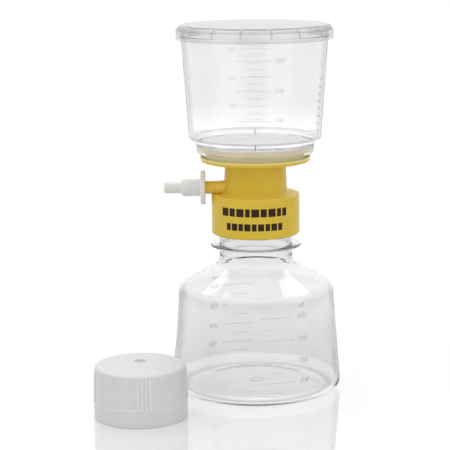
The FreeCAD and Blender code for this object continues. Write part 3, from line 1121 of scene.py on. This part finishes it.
    def build(self) -> bpy.types.Object:
        """Build the bottle and its scales.

        Returns:
            The bottle.
        """
        ring_r = self.base_r - self.ring_inset
        bead_r, bead = self.neck_r + self.bead_width, self.lip - self.bead_drop
        foot = self.lip - self.foot_drop
        body = [
            (0, self.push_up),
            (ring_r - self.push_up_width, self.push_up, self.push_up_corner),
            (ring_r, 0, self.ring_corner),
            (self.base_r, 0, self.base_corner),
            (self.shoulder_r, self.shoulder, self.shoulder_corner),
            (self.neck_foot_r, self.throat, self.throat_corner),
            (self.neck_foot_r, foot),
        ]
        bore = self.neck_r - self.neck_wall
        hollow = inset(body, self.wall)[:-1]
        hollow[-1] = (bore, hollow[-1][1], hollow[-1][2])
        neck = [
            (self.neck_r, foot + self.foot_step, 0.3),
            (self.neck_r, bead - self.bead_root, 0.5),
            (bead_r, bead - self.bead_edge, 0.4),
            (bead_r, bead, 0.4),
            (self.neck_r, bead, 0.6),
            (self.neck_r, self.lip, 0.4),
        ]
        outside = rounded(body + neck + [(bore, self.lip, 0.4), (bore, self.throat)], False)[:-1]
        inside = rounded([(bore, self.lip)] + hollow[::-1], False)[1:]
        rows = lathe_points(self.fine_row, 5.0, self.shoulder, 4.0)
        fine = lathe_points(self.thread_row, self.thread.start - 1.5, self.thread.top + 0.5, 60.0)
        outside = refined(refined(outside, rows, False), fine, False)
        inside = refined(inside, rows, False)
        outline = np.vstack([outside, inside])
        outer = np.arange(len(outline)) < len(outside)
        shell = Shell()
        angles = self._columns()
        radii = shell.lathe(outline, angles, closed=False, warp=self._warp(outer))
        bottle = dress(
            shell.build("receiver_bottle_shell"), BOTTLE_CLEAR, Body.RECEIVER, [self.node]
        )
        width = np.diff(np.append(angles, angles[0] + TAU))
        areas = (radii[~outer] ** 2 * (width + np.roll(width, 1)) / 4).sum(axis=1)
        self._scales(outline[~outer][:, 1], areas)
        self._floor_mark()
        return bottle

    def _scales(self, heights: np.ndarray, areas: np.ndarray) -> None:
        """Add a scale at the front and one at the back, by the volumes of the cross-sections.

        Args:
            heights: Heights of the inner cross-sections.
            areas: Their areas in square millimetres.
        """
        for name, azimuth in (("front", -90.0), ("back", 90.0)):
            panel = ScalePanel(self.wall_at, azimuth, 2.0, 26.0, 5.0, 16.5, 33.0, numeral=3.3)
            for volume in self.marks:
                major = volume % 100 == 0
                panel.mark(
                    Mark.MAJOR if major else Mark.MINOR,
                    level_of(volume, heights, areas),
                    str(volume) if major else "",
                )
            panel.write("ml", 33.0, level_of(self.marks[-1], heights, areas) + 6.5)
            dress(
                panel.shell.build(f"receiver_scale_{name}"), MARK_FROSTED, Body.RECEIVER
            )

    def _floor_mark(self) -> None:
        """A small ring under the middle of the floor, where the mould closed."""
        (inner, outer), low, high = self.floor_ring, self.push_up - 0.3, self.push_up + 0.1
        ring = Shell()
        corners = [(inner, low), (outer, low), (outer, high), (inner, high)]
        ring.lathe(rounded(corners, True, 0.1), columns(64))
        dress(ring.build("receiver_floor_ring"), MARK_FROSTED, Body.RECEIVER)


# Filter head ---------------------------------------------------------------------------------------------


@dataclass
class FilterHead:
    """Yellow collar, hollow neck, side arm and plate, in one moulding."""

    node: str = "filter_head"
    socket_r: float = 24.55
    collar_wall: float = 2.95
    collar_skirt: float = 22.2
    web: float = 3.0
    shelf: float = 7.7
    neck_taper: float = 0.8
    neck_wall: float = 1.8
    neck_height: float = 19.9
    plate_r: float = 34.4
    plate_thick: float = 2.2
    plate_rise: float = 0.9
    plate_lip: float = 2.9
    plate_lip_thick: float = 1.2
    plate_lip_band: float = 1.3
    plate_lip_step: float = 0.5
    plate_groove: float = 1.8
    plate_rim: float = 3.6
    seat_r: float = 30.2
    seat_wall: float = 2.2
    seat_height: float = 7.6
    basin_fall: float = 1.2
    drain_bore: float = 3.4
    drain_wall: float = 1.6
    drain_length: float = 33.0
    arm_r: float = 4.0
    arm_bore: float = 2.4
    arm_height: float = 3.7
    arm_length: float = 24.1
    arm_swell: float = 0.5
    arm_swell_length: float = 4.0
    rib_count: int = 8
    rib_thick: float = 1.2
    gasket: float = 1.8
    thread_lead: float = 4.0
    thread_drop: float = 10.0
    thread_turns: float = 1.25
    print_rows: tuple[PrintRow, ...] = (
        (4.4, 5.0, (
            (-48.6, -38.6), (-36.6, -28.6), (-26.6, -16.6), (-14.6, -8.6), (-6.6, 3.4), (5.4, 13.4),
            (15.4, 25.4), (27.4, 33.4), (35.4, 42.0),
        )),
        (-4.6, 4.4, (
            (-41.2, -35.2), (-33.4, -25.4), (-23.6, -17.6), (-15.8, -7.8), (-6.0, 0.0), (1.8, 9.8),
            (11.6, 17.6), (19.4, 27.4), (29.2, 35.2),
        )),
    )

    def build(self) -> bpy.types.Object:
        """Build the moulding and its printed marks.

        Returns:
            The moulding.
        """
        top = float(node_span(self.node)[1][2])
        plate = top - self.seat_height
        shelf = plate - self.neck_height
        web = shelf - self.web
        foot = web - self.collar_skirt
        collar = self.socket_r + self.collar_wall
        neck_foot = collar - self.shelf
        neck_top = neck_foot - self.neck_taper
        bore = neck_top - self.neck_wall
        drain = self.drain_bore + self.drain_wall
        edge, groove = plate + self.plate_rise, plate + self.plate_rise + self.plate_thick / 2
        rim, rim_r = edge + self.plate_lip, self.plate_r - self.plate_lip_thick
        basin_r, basin = self.seat_r - self.seat_wall, plate + self.plate_thick + self.basin_fall
        outline = rounded(
            [
                (self.drain_bore, plate - self.drain_length, 0.3),
                (drain, plate - self.drain_length, 0.3),
                (drain, plate, 1.5),
                (bore, plate, 1.5),
                (bore, web, 0.4),
                (self.socket_r, web, 0.4),
                (self.socket_r, foot, 0.5),
                (collar, foot, 1.5),
                (collar, shelf, 0.9),
                (neck_foot, shelf, 2.0),
                (neck_top, plate, 1.2),
                (self.plate_r - self.plate_rim, plate, 3.0),
                (self.plate_r - self.plate_lip_step, edge, 0.5),
                (self.plate_r - self.plate_lip_step, rim - self.plate_lip_band - self.plate_lip_step, 0.15),
                (self.plate_r, rim - self.plate_lip_band, 0.25),
                (self.plate_r, rim, 0.4),
                (rim_r, rim, 0.4),
                (rim_r, groove, 0.4),
                (rim_r - self.plate_groove, groove, 0.3),
                (self.seat_r, top, 0.3),
                (basin_r, top, 0.3),
                (basin_r, basin, 0.5),
                (self.drain_bore, basin - self.basin_fall, 0.4),
            ],
            True,
        )
        thread = Thread(web - self.gasket - self.thread_drop - self.thread_lead / 2, self.thread_turns)

        def rule(radii: np.ndarray, heights: np.ndarray, angles: np.ndarray) -> np.ndarray:
            """Raise the socket's thread."""
            made = radii.copy()
            rows = np.abs(outline[:, 0] - self.socket_r) < 0.01
            rows &= (heights[:, 0] > thread.start - thread.root) & (heights[:, 0] < thread.top)
            made[rows] -= thread.rise(heights[rows], angles[rows])
            return made

        outline = refined(
            outline,
            thread_rows(thread, self.socket_r, 0.33),
            True,
        )
        shell = Shell()
        shell.lathe(outline, warp=rule)
        depth = basin_r - drain - 1.0
        for i in range(self.rib_count):
            shell.block(
                (drain + 2.0 + depth / 2, 0, (plate + 1.1 + top) / 2),
                (depth, self.rib_thick, top - plate - 1.1),
                i * 360 / self.rib_count,
            )
        self.arm_z = shelf + self.arm_height
        self.arm_tip = neck_foot + self.arm_length
        start = neck_foot - self.neck_wall
        arm = rounded(
            [
                (self.arm_r + self.arm_swell, start),
                (self.arm_r, neck_foot + self.arm_swell_length, 2.0),
                (self.arm_r, self.arm_tip, 0.3),
                (self.arm_bore, self.arm_tip, 0.3),
                (self.arm_bore, start),
            ],
            True,
        )
        place = Matrix.Translation((0, 0, self.arm_z)) @ Matrix.Rotation(-math.pi / 2, 4, "Y")
        shell.lathe(arm[::-1], columns(64), place=place)
        head = dress(shell.build("filter_head_moulding"), HEAD_YELLOW, Body.HEAD, [self.node])
        band = rim - self.plate_lip_band - 0.2

        def on_deck(at: Vector, _: Vector) -> bool:
            """Tell the groove inside the lip and the ring that carries the support, which get painted light.
            """
            return at.z > edge and self.seat_r - 0.5 < at.xy.length < rim_r + 0.1

        def on_arm(at: Vector, _: Vector) -> bool:
            """Tell the side arm outside the neck, which gets painted light."""
            return at.x < -neck_foot and abs(at.y) < 5 and shelf + 0.1 < at.z < plate

        # Painted light: paler copies of the one yellow moulding on the lip, the deck, the arm and the
        # collar's top.
        repaint(head, LIP_YELLOW_LIT, lambda at, _: at.z > band and at.xy.length > self.seat_r - 0.5)
        repaint(head, DECK_YELLOW_LIT, on_deck)
        repaint(head, ARM_AND_SHELF_LIT, on_arm)
        # Painted light: the collar's upward top face gets the brighter yellow.
        repaint(head, ARM_AND_SHELF_LIT, lambda at, way: way.z > 0.5 and abs(at.z - shelf) < 0.5)
        self._print(collar, foot, shelf)
        return head

    def _print(self, collar: float, foot: float, shelf: float) -> None:
        """Add two plain rows of printed blocks to the collar's front.

        Args:
            collar: The collar's radius.
            foot: Height of its lower edge.
            shelf: Height of its top.
        """
        panel = ScalePanel(lambda z: collar, -90.0, 0, 0, 0, 0, 0, proud=0.06, sunk=0.02)
        middle = (foot + shelf) / 2
        for height, size, blocks in self.print_rows:
            for start, end in blocks:
                panel.bar(start, end, middle + height, size)
        dress(panel.shell.build("collar_print"), PRINT_DARK, Body.HEAD)


# Upper chamber -------------------------------------------------------------------------------------------


@dataclass
class UpperChamber:
    """Clear tapered chamber with a stepped foot, a skirt and a flanged rim."""

    node: str = "upper_chamber"
    skirt_r: float = 35.0
    skirt_wall: float = 1.0
    skirt_drop: float = 4.9
    skirt_shoulder: float = 0.9
    ledge_r: float = 34.0
    ledge_thick: float = 1.6
    foot_step: float = 4.2
    foot_height: float = 5.3
    taper: float = 4.65
    wall: float = 1.5
    corner: float = 2.0
    flange_width: float = 0.85
    flange_drop: float = 4.8
    flange_thick: float = 1.5
    corner_band: float = 0.7
    step_mark: tuple[float, float, float] = (2.6, 0.6, 3.2)
    step_mark_drop: float = 2.4
    front: float = -89.0
    side_azimuth: float = -24.0
    side_marks: int = 8
    marks: tuple[int, ...] = tuple(range(50, 351, 25))

    def __post_init__(self) -> None:
        """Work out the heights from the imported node."""
        low, high = node_span(self.node)
        self.skirt_z, self.rim = float(low[2]), float(high[2])
        self.seat = self.skirt_z + self.skirt_drop
        self.foot = self.seat + self.foot_height
        self.foot_r = self.skirt_r + self.skirt_wall + self.skirt_shoulder + self.foot_step
        self.rim_r = self.foot_r + self.taper

    def wall_at(self, height: float) -> float:
        """Outer radius of the tapered wall at a height."""
        low = self.foot - self.wall / 2
        return self.foot_r + self.taper * (height - low) / (self.rim - low)

    def build(self) -> bpy.types.Object:
        """Build the chamber and its scales.

        Returns:
            The chamber.
        """
        ledge = self.seat + self.ledge_thick
        out_r = self.skirt_r + self.skirt_wall
        flange = self.rim - self.flange_drop
        flange_top = flange + self.flange_thick
        flange_r = self.rim_r + self.flange_width
        outline = rounded(
            [
                (self.skirt_r, self.skirt_z, 0.2),
                (out_r, self.skirt_z, 0.33),
                (out_r + self.skirt_shoulder, self.seat + self.ledge_thick / 2, 1.0),
                (self.foot_r, self.foot - self.wall / 2, self.corner),
                (self.wall_at(flange), flange, 0.25),
                (flange_r, flange, 0.35),
                (flange_r, flange_top, 0.35),
                (self.wall_at(flange_top), flange_top, 0.25),
                (self.rim_r, self.rim, 0.5),
                (self.rim_r - self.wall, self.rim, 0.5),
                (self.foot_r - self.wall, self.foot, self.corner),
                (self.foot_r - self.wall - self.corner, ledge + self.wall / 2, self.corner),
                (self.ledge_r, ledge, 0.3),
                (self.ledge_r, self.seat, 0.2),
                (self.skirt_r, self.seat, 0.2),
            ],
            True,
        )
        shell = Shell()
        shell.lathe(refined(outline, lambda _: 9.0, True), columns(224))
        chamber = dress(
            shell.build("upper_chamber_shell"), CHAMBER_CLEAR, Body.HEAD, [self.node]
        )
        corners = (
            (self.foot_r, self.foot - self.wall / 2),
            (out_r + self.skirt_shoulder, self.seat + self.ledge_thick / 2),
        )

        def on_corner(at: Vector, _: Vector) -> bool:
            """Tell the faces of the foot's outer corners, which get painted shade."""
            return any(math.hypot(at.xy.length - r, at.z - z) < self.corner_band for r, z in corners)

        repaint(chamber, CHAMBER_SKIRT, lambda at, _: at.z < ledge)
        # Painted shade on the foot's outer corners.
        repaint(chamber, CHAMBER_CORNER_SHADE, on_corner)
        self._step_marks(out_r)
        inner = outline[(outline[:, 1] >= ledge - 1e-6) & (outline[:, 0] <= self.rim_r - self.wall + 1e-6)]
        inner = inner[inner[:, 0] >= self.ledge_r - 1e-6]
        heights, areas = inner[:, 1], math.pi * inner[:, 0] ** 2
        self._scales(np.append(heights, self.seat), np.append(areas, math.pi * self.ledge_r ** 2))
        return chamber

    def _step_marks(self, skirt_r: float) -> None:
        """An upright line across the foot's step, at the front and the back, in a dark grey that is painted
        shade.
        """
        shell = Shell()
        place = (skirt_r + self.foot_step / 2, 0, self.foot - self.step_mark_drop)
        for angle in (-91.0, 89.0):
            shell.block(place, self.step_mark, angle, 0.1)
        dress(shell.build("chamber_step_marks"), MARK_SHADE_GREY, Body.HEAD)

    def _scales(self, heights: np.ndarray, areas: np.ndarray) -> None:
        """Add scales at the front, the back and one side.

        The tapered wall has cross-sections at its ends alone, so the marks stand at even steps and up to
        11 ml from the volume that the wall holds.

        Args:
            heights: Heights of the inner cross-sections.
            areas: Their areas in square millimetres.
        """
        keep = np.argsort(heights)
        side = ScalePanel(self.wall_at, self.side_azimuth, 0, 0, -2.4, 2.4, 0, line=0.5)
        for volume in self.marks[:self.side_marks]:
            side.mark(Mark.MINOR, level_of(volume, heights[keep], areas[keep]))
        dress(side.shell.build("chamber_scale_side"), MARK_DULL, Body.HEAD)
        for name, azimuth in (("front", self.front), ("back", self.front + 180)):
            panel = ScalePanel(self.wall_at, azimuth, -17.0, 11.0, -8.0, 5.0, 17.5, numeral=2.8, line=0.32)
            for volume in self.marks:
                major = volume % 100 == 0
                panel.mark(
                    Mark.MAJOR if major else Mark.MINOR,
                    level_of(volume, heights[keep], areas[keep]),
                    str(volume) if major else "",
                )
            dress(panel.shell.build(f"chamber_scale_{name}"), MARK_FAINT, Body.HEAD)


# Lid -----------------------------------------------------------------------------------------------------


@dataclass
class ChamberLid:
    """Lid with a rounded shoulder and ribs that stand on the chamber's rim."""

    node: str = "chamber_lid"
    radius: float = 48.5
    wall: float = 1.5
    shoulder_width: float = 2.8
    shoulder_drop: float = 3.2
    skirt: float = 8.8
    panel_r: float = 29.0
    panel_height: float = 0.5
    panel_slope: float = 5.0
    rise: float = 3.1
    rib_count: int = 16
    rib_phase: float = 11.25
    rib_thick: float = 1.0
    rib_length: float = 6.2
    rim_r: float = 45.75
    rib_clearance: float = 0.4

    def build(self) -> bpy.types.Object:
        """Build the lid.

        Returns:
            The lid.
        """
        top = float(node_span(self.node)[1][2]) - self.panel_height
        under, inner = top - self.wall, self.radius - self.wall
        shoulder = self.radius - self.shoulder_width
        outline = rounded(
            [
                (0, under),
                (shoulder - self.wall / 2, under, self.wall),
                (inner, top - self.shoulder_drop, self.wall),
                (inner, top - self.skirt, 0.2),
                (self.radius, top - self.skirt, 0.5),
                (self.radius, top - self.shoulder_drop + self.wall / 2, 3.0),
                (shoulder, top, 3.0),
                (self.panel_r + self.panel_slope, top, 12.0),
                (self.panel_r, top + self.panel_height, 12.0),
                (0, top + self.panel_height),
            ],
            False,
        )
        shell = Shell()
        shell.lathe(refined(outline, lambda _: 9.0, False), columns(224), closed=False)
        guide_in, guide_out = self.rim_r + self.rib_clearance, inner + 0.1
        rim = top - self.rise
        for i in range(self.rib_count):
            angle = self.rib_phase + i * 360 / self.rib_count
            low, high = top - self.rib_length, rim + 0.1
            shell.block(
                ((guide_in + guide_out) / 2, 0, (low + high) / 2),
                (guide_out - guide_in, self.rib_thick, high - low), angle, 0.1,
            )
            low, high = rim, under + 0.1
            shell.block(
                ((self.rim_r - 3.0 + inner - self.wall) / 2, 0, (low + high) / 2),
                (inner - self.wall - self.rim_r + 3.0, self.rib_thick, high - low), angle, 0.1,
            )
        lid = dress(shell.build("chamber_lid_shell"), LID_CLEAR, Body.LID, [self.node])
        repaint(lid, LID_FROST, lambda at, way: at.z > top - 0.1 and way.z > 0.9)
        # Painted shade on the lid's sloped shoulder faces.
        repaint(lid, LID_SHOULDER_SHADE, lambda at, way: at.xy.length > shoulder - 1.0 and 0.2 < way.z <= 0.9)
        return lid


# Hose adapter --------------------------------------------------------------------------------------------


@dataclass
class HoseAdapter:
    """Milky stepped adapter: socket, flange, body and hose barb."""

    node: str = "hose_adapter"
    socket_r: float = 4.08
    flange_r: float = 10.7
    flange_thick: float = 3.0
    body_r: float = 5.45
    body_length: float = 12.2
    body_taper: float = 1.4
    barb_r: float = 3.5
    bore: float = 2.2
    socket_depth: float = 12.8
    edge: float = 0.6

    def build(self) -> bpy.types.Object:
        """Build the adapter.

        Returns:
            The adapter.
        """
        low, high = node_span(self.node)
        length, axis = float(high[0] - low[0]), float(low[2] + high[2]) / 2
        body_end = self.flange_thick + self.body_length
        outline = rounded(
            [
                (self.socket_r, 0, 0.3),
                (self.flange_r, 0, self.edge),
                (self.flange_r, self.flange_thick, self.edge),
                (self.body_r, self.flange_thick, self.edge),
                (self.body_r, body_end - self.body_taper, self.edge),
                (self.barb_r, body_end, self.edge),
                (self.barb_r, length - 0.4, 0.2),
                (self.barb_r - 0.4, length, 0.2),
                (self.bore, length, 0.2),
                (self.bore, self.socket_depth, 0.2),
                (self.socket_r, self.socket_depth, 0.2),
            ],
            True,
        )
        place = Matrix.Translation((float(high[0]), 0, axis)) @ Matrix.Rotation(-math.pi / 2, 4, "Y")
        shell = Shell()
        shell.lathe(outline, columns(96), place=place)
        return dress(
            shell.build("hose_adapter_moulding"), ADAPTER_WHITE, Body.ADAPTER, [self.node]
        )


# Storage cap ---------------------------------------------------------------------------------------------


@dataclass
class StorageCap:
    """White screw cap with four groups of grip ribs and a plain band at its mouth."""

    node: str = "storage_cap"
    bore: float = 24.55
    side_r: float = 27.8
    top_r: float = 27.2
    band_r: float = 28.1
    band_height: float = 10.7
    edge_z: float = 31.6
    edge_corner: float = 4.0
    dome: float = 2.0
    top_wall: float = 2.6
    rib_groups: int = 4
    ribs_per_group: int = 4
    rib_pitch: float = 5.1
    rib_height: float = 0.6
    rib_width: float = 1.2
    front: float = -83.0
    mark_r: float = 3.2
    thread_drop: float = 12.0
    thread_turns: float = 1.25

    def build(self) -> bpy.types.Object:
        """Build the cap.

        Returns:
            The cap.
        """
        low, high = node_span(self.node)
        centre = ((low[0] + high[0]) / 2, (low[1] + high[1]) / 2)
        depth = self.edge_z - self.top_wall
        crown = self.top_r - self.edge_corner
        sphere = (crown ** 2 + self.dome ** 2) / (2 * self.dome)
        peak = self.edge_z + self.dome

        def dome_at(r: float) -> float:
            """Height of the domed top at a radius."""
            return peak - sphere + math.sqrt(sphere ** 2 - r ** 2)

        rings = [crown * k / 10 for k in range(10, 0, -1)]
        outline = rounded(
            [
                (0, depth),
                (self.bore, depth, 1.0),
                (self.bore, 0, 0.3),
                (self.band_r, 0, 0.5),
                (self.band_r, self.band_height, 0.15),
                (self.side_r, self.band_height + 0.3, 0.15),
                (self.top_r, self.edge_z, self.edge_corner),
                (crown, self.edge_z, 0.4),
            ]
            + [(r, dome_at(r), 0.2) for r in rings[1:-1]]
            + [
                (self.mark_r + 0.3, dome_at(self.mark_r), 0.15),
                (self.mark_r, dome_at(self.mark_r) - 0.35, 0.15),
                (0.9, dome_at(0) - 0.35, 0.15),
                (0.6, dome_at(0) - 0.05, 0.15),
                (0, dome_at(0)),
            ],
            False,
        )
        thread = Thread(depth - self.thread_drop, self.thread_turns)
        outline = refined(
            outline,
            thread_rows(thread, self.bore, 0.4),
            False,
        )

        def rule(radii: np.ndarray, heights: np.ndarray, angles: np.ndarray) -> np.ndarray:
            """Raise the thread inside the cap."""
            made = radii.copy()
            rows = np.abs(outline[:, 0] - self.bore) < 0.01
            rows &= (heights[:, 0] > thread.start - thread.root) & (heights[:, 0] < thread.top)
            made[rows] -= thread.rise(heights[rows], angles[rows])
            return made

        shell = Shell()
        shell.lathe(outline, closed=False, warp=rule)
        width = (self.ribs_per_group - 1) * self.rib_pitch
        for group in range(self.rib_groups):
            for i in range(self.ribs_per_group):
                self._rib(shell, self.front + group * 360 / self.rib_groups - width / 2 + i * self.rib_pitch)
        cap = shell.build("storage_cap_moulding")
        cap.data.transform(Matrix.Translation((centre[0] * MM, centre[1] * MM, 0)))
        dress(cap, CAP_WHITE, Body.RECEIVER, [self.node])
        middle = Vector(centre)

        def on_rib(at: Vector, _: Vector) -> bool:
            """Tell the ribs' outer faces, which get a painted highlight."""
            up = (at.z - self.band_height) / (self.edge_z - self.band_height)
            out = (at.xy - middle).length
            return 0 < up < 0.9 and out > self.side_r - (self.side_r - self.top_r) * up + self.rib_height / 3

        def on_mark(at: Vector, _: Vector) -> bool:
            """Tell the sunk mark in the middle of the top, which gets painted shade."""
            return at.z > self.edge_z and (at.xy - middle).length < self.mark_r + 0.4

        # Painted highlight on the grip ribs.
        repaint(cap, CAP_RIB_HIGHLIGHT, on_rib)
        # Painted shade in the sunk gate mark.
        repaint(cap, CAP_MARK_SHADE, on_mark)
        return cap

    def _rib(self, shell: Shell, angle: float) -> None:
        """Add one grip rib, which runs out over the cap's rounded edge.

        Args:
            shell: The mesh that it joins.
            angle: Its direction from +X, in degrees.
        """
        corner = self.edge_corner + self.rib_height
        spine = [(self.side_r, self.band_height)]
        for k in range(6):
            turn = math.radians(11.0 * k)
            spine.append((
                self.top_r - self.edge_corner + self.edge_corner * math.cos(turn),
                self.edge_z - corner + corner * math.sin(turn),
            ))
        half = self.rib_width / 2 / self.side_r
        middle = math.radians(angle)
        points = []
        for k, (r, z) in enumerate(spine):
            rise = self.rib_height * (1.0 if k < len(spine) - 1 else 0.1)
            section = (
                (-1.0, -0.5), (-0.75, 0.75 * rise), (-0.3, rise),
                (0.3, rise), (0.75, 0.75 * rise), (1.0, -0.5),
            )
            for away, out in section:
                a = middle + away * half
                points.append(((r + out) * math.cos(a), (r + out) * math.sin(a), z))
        faces = [
            (i * 6 + j, i * 6 + (j + 1) % 6, (i + 1) * 6 + (j + 1) % 6, (i + 1) * 6 + j)
            for i in range(len(spine) - 1)
            for j in range(6)
        ]
        faces += [tuple(reversed(range(6))), tuple((len(spine) - 1) * 6 + j for j in range(6))]
        shell.add(np.array(points), faces)


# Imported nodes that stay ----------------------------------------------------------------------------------


@dataclass
class FilterStack:
    """Membrane, its drilled support, the neck gasket and the arm's fibre plug, which stay as packed."""

    def build(self) -> None:
        """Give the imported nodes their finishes."""
        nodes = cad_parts
        dress(nodes["membrane_filter"], MEMBRANE_WHITE)
        dress(nodes["membrane_support"], SUPPORT_YELLOW)
        dress(nodes["neck_gasket"], GASKET_GREY)
        dress(nodes["side_arm_plug"], PLUG_WHITE)


# Studio --------------------------------------------------------------------------------------------------


@dataclass
class Studio:
    """White floor and background, soft lamps and the camera."""

    eye: tuple[float, float, float] = (-19.3, -1020.0, 298.0)
    pitch: float = 10.8
    roll: float = 0.58
    lens: float = 132.08
    floor_size: float = 12.0
    floor_glow: float = 0.31
    floor_mirror: float = 8.0
    world_level: float = 0.34
    suns: tuple[tuple[float, float, float, float], ...] = (
        (90.0, 66.0, 1.30, 60.0),
        (225.0, 36.0, 0.72, 80.0),
        (-42.0, 36.0, 0.64, 80.0),
    )

    def build(self) -> None:
        """Set the stage."""
        self._floor()
        self._world()
        for number, sun in enumerate(self.suns, 1):
            self._sun(f"softbox_{number}", *sun)
        self._camera()

    def _camera(self) -> None:
        """Place the camera."""
        data = bpy.data.cameras.new("camera")
        data.lens = self.lens
        data.clip_start, data.clip_end = 0.01, 50.0
        camera = bpy.data.objects.new("camera", data)
        bpy.context.scene.collection.objects.link(camera)
        turn = Matrix.Rotation(math.radians(90 - self.pitch), 4, "X") @ Matrix.Rotation(
            math.radians(-self.roll), 4, "Z"
        )
        camera.matrix_world = Matrix.Translation(Vector(self.eye) * MM) @ turn
        bpy.context.scene.camera = camera

    def _sun(self, name: str, azimuth: float, elevation: float, level: float, spread: float) -> None:
        """Even soft light from one side.

        Args:
            name: The lamp's name.
            azimuth: Where it comes from, in degrees from +X.
            elevation: How high it stands, in degrees.
            level: Its strength.
            spread: How wide it is, in degrees.
        """
        data = bpy.data.lights.new(name, "SUN")
        data.energy, data.angle = level, math.radians(spread)
        lamp = bpy.data.objects.new(name, data)
        a, e = math.radians(azimuth), math.radians(elevation)
        way = Vector((math.cos(a) * math.cos(e), math.sin(a) * math.cos(e), math.sin(e)))
        lamp.rotation_euler = way.to_track_quat("Z", "Y").to_euler()
        bpy.context.scene.collection.objects.link(lamp)

    def _floor(self) -> None:
        """A white glossy floor that keeps the unit's shadow."""
        half = self.floor_size / 2
        mesh = bpy.data.meshes.new("studio_floor")
        corners = [(-half, -half, 0), (half, -half, 0), (half, half, 0), (-half, half, 0)]
        mesh.from_pydata(corners, [], [(0, 1, 2, 3)])
        floor = bpy.data.objects.new("studio_floor", mesh)
        bpy.context.scene.collection.objects.link(floor)
        n = Nodes("studio_floor_white")
        cloud = n.noise(3.0)
        paint = n.add("ShaderNodeBsdfDiffuse", Color=n.blend(cloud, (0.74, 0.74, 0.74), (0.76, 0.76, 0.76)))
        path = n.add("ShaderNodeLightPath").outputs
        straight = n.math("LESS_THAN", path["Diffuse Depth"], 0.5)
        seen = n.math("MAXIMUM", path["Is Camera Ray"], path["Is Glossy Ray"])
        seen = n.math("MAXIMUM", seen, path["Is Transmission Ray"])
        level = n.math("MULTIPLY", n.math("MULTIPLY", seen, self.floor_glow), straight)
        both = n.add("ShaderNodeAddShader")
        n.tree.links.new(paint.outputs[0], both.inputs[0])
        n.tree.links.new(n.add("ShaderNodeEmission", Strength=level).outputs[0], both.inputs[1])
        gloss = n.add("ShaderNodeBsdfGlossy", Color=(1, 1, 1, 1), Roughness=n.between(cloud, 0.02, 0.03))
        sheen = n.add("ShaderNodeFresnel", IOR=self.floor_mirror).outputs[0]
        bare = n.math("SUBTRACT", 1.0, path["Is Transmission Ray"])
        white = n.mix(n.math("MULTIPLY", sheen, bare), both, gloss)
        n.tree.links.new(white.outputs[0], n.output.inputs["Surface"])
        mesh.materials.append(n.material)

    def _world(self) -> None:
        """White to the eye and through clear plastic, and plain soft light on the unit."""
        world = bpy.data.worlds.new("studio")
        world.use_nodes = True
        bpy.context.scene.world = world
        n = Nodes("studio", world.node_tree, "ShaderNodeOutputWorld")
        path = n.add("ShaderNodeLightPath").outputs
        light = n.add("ShaderNodeBackground", Color=(1, 1, 1, 1), Strength=self.world_level)
        white = n.add("ShaderNodeBackground", Color=(1, 1, 1, 1), Strength=1.0)
        straight = n.math("LESS_THAN", path["Diffuse Depth"], 0.5)
        bent = n.math("MAXIMUM", path["Is Glossy Ray"], path["Is Transmission Ray"])
        seen = n.math("MAXIMUM", path["Is Camera Ray"], n.math("MULTIPLY", bent, straight))
        n.tree.links.new(n.mix(seen, light, white).outputs[0], n.output.inputs["Surface"])
        bpy.context.scene.view_settings.view_transform = "Standard"


def main() -> None:
    """Build every sub-assembly and the studio, and log the name of each piece built."""
    logging.basicConfig(level=logging.INFO, format="%(name)s: %(message)s")
    Studio().build()
    for part in (ReceiverBottle(), FilterHead(), UpperChamber(), ChamberLid(), HoseAdapter(), StorageCap()):
        made = part.build()
        LOG.info("built %s", made.name)
    FilterStack().build()


if __name__ == "__main__":
    main()
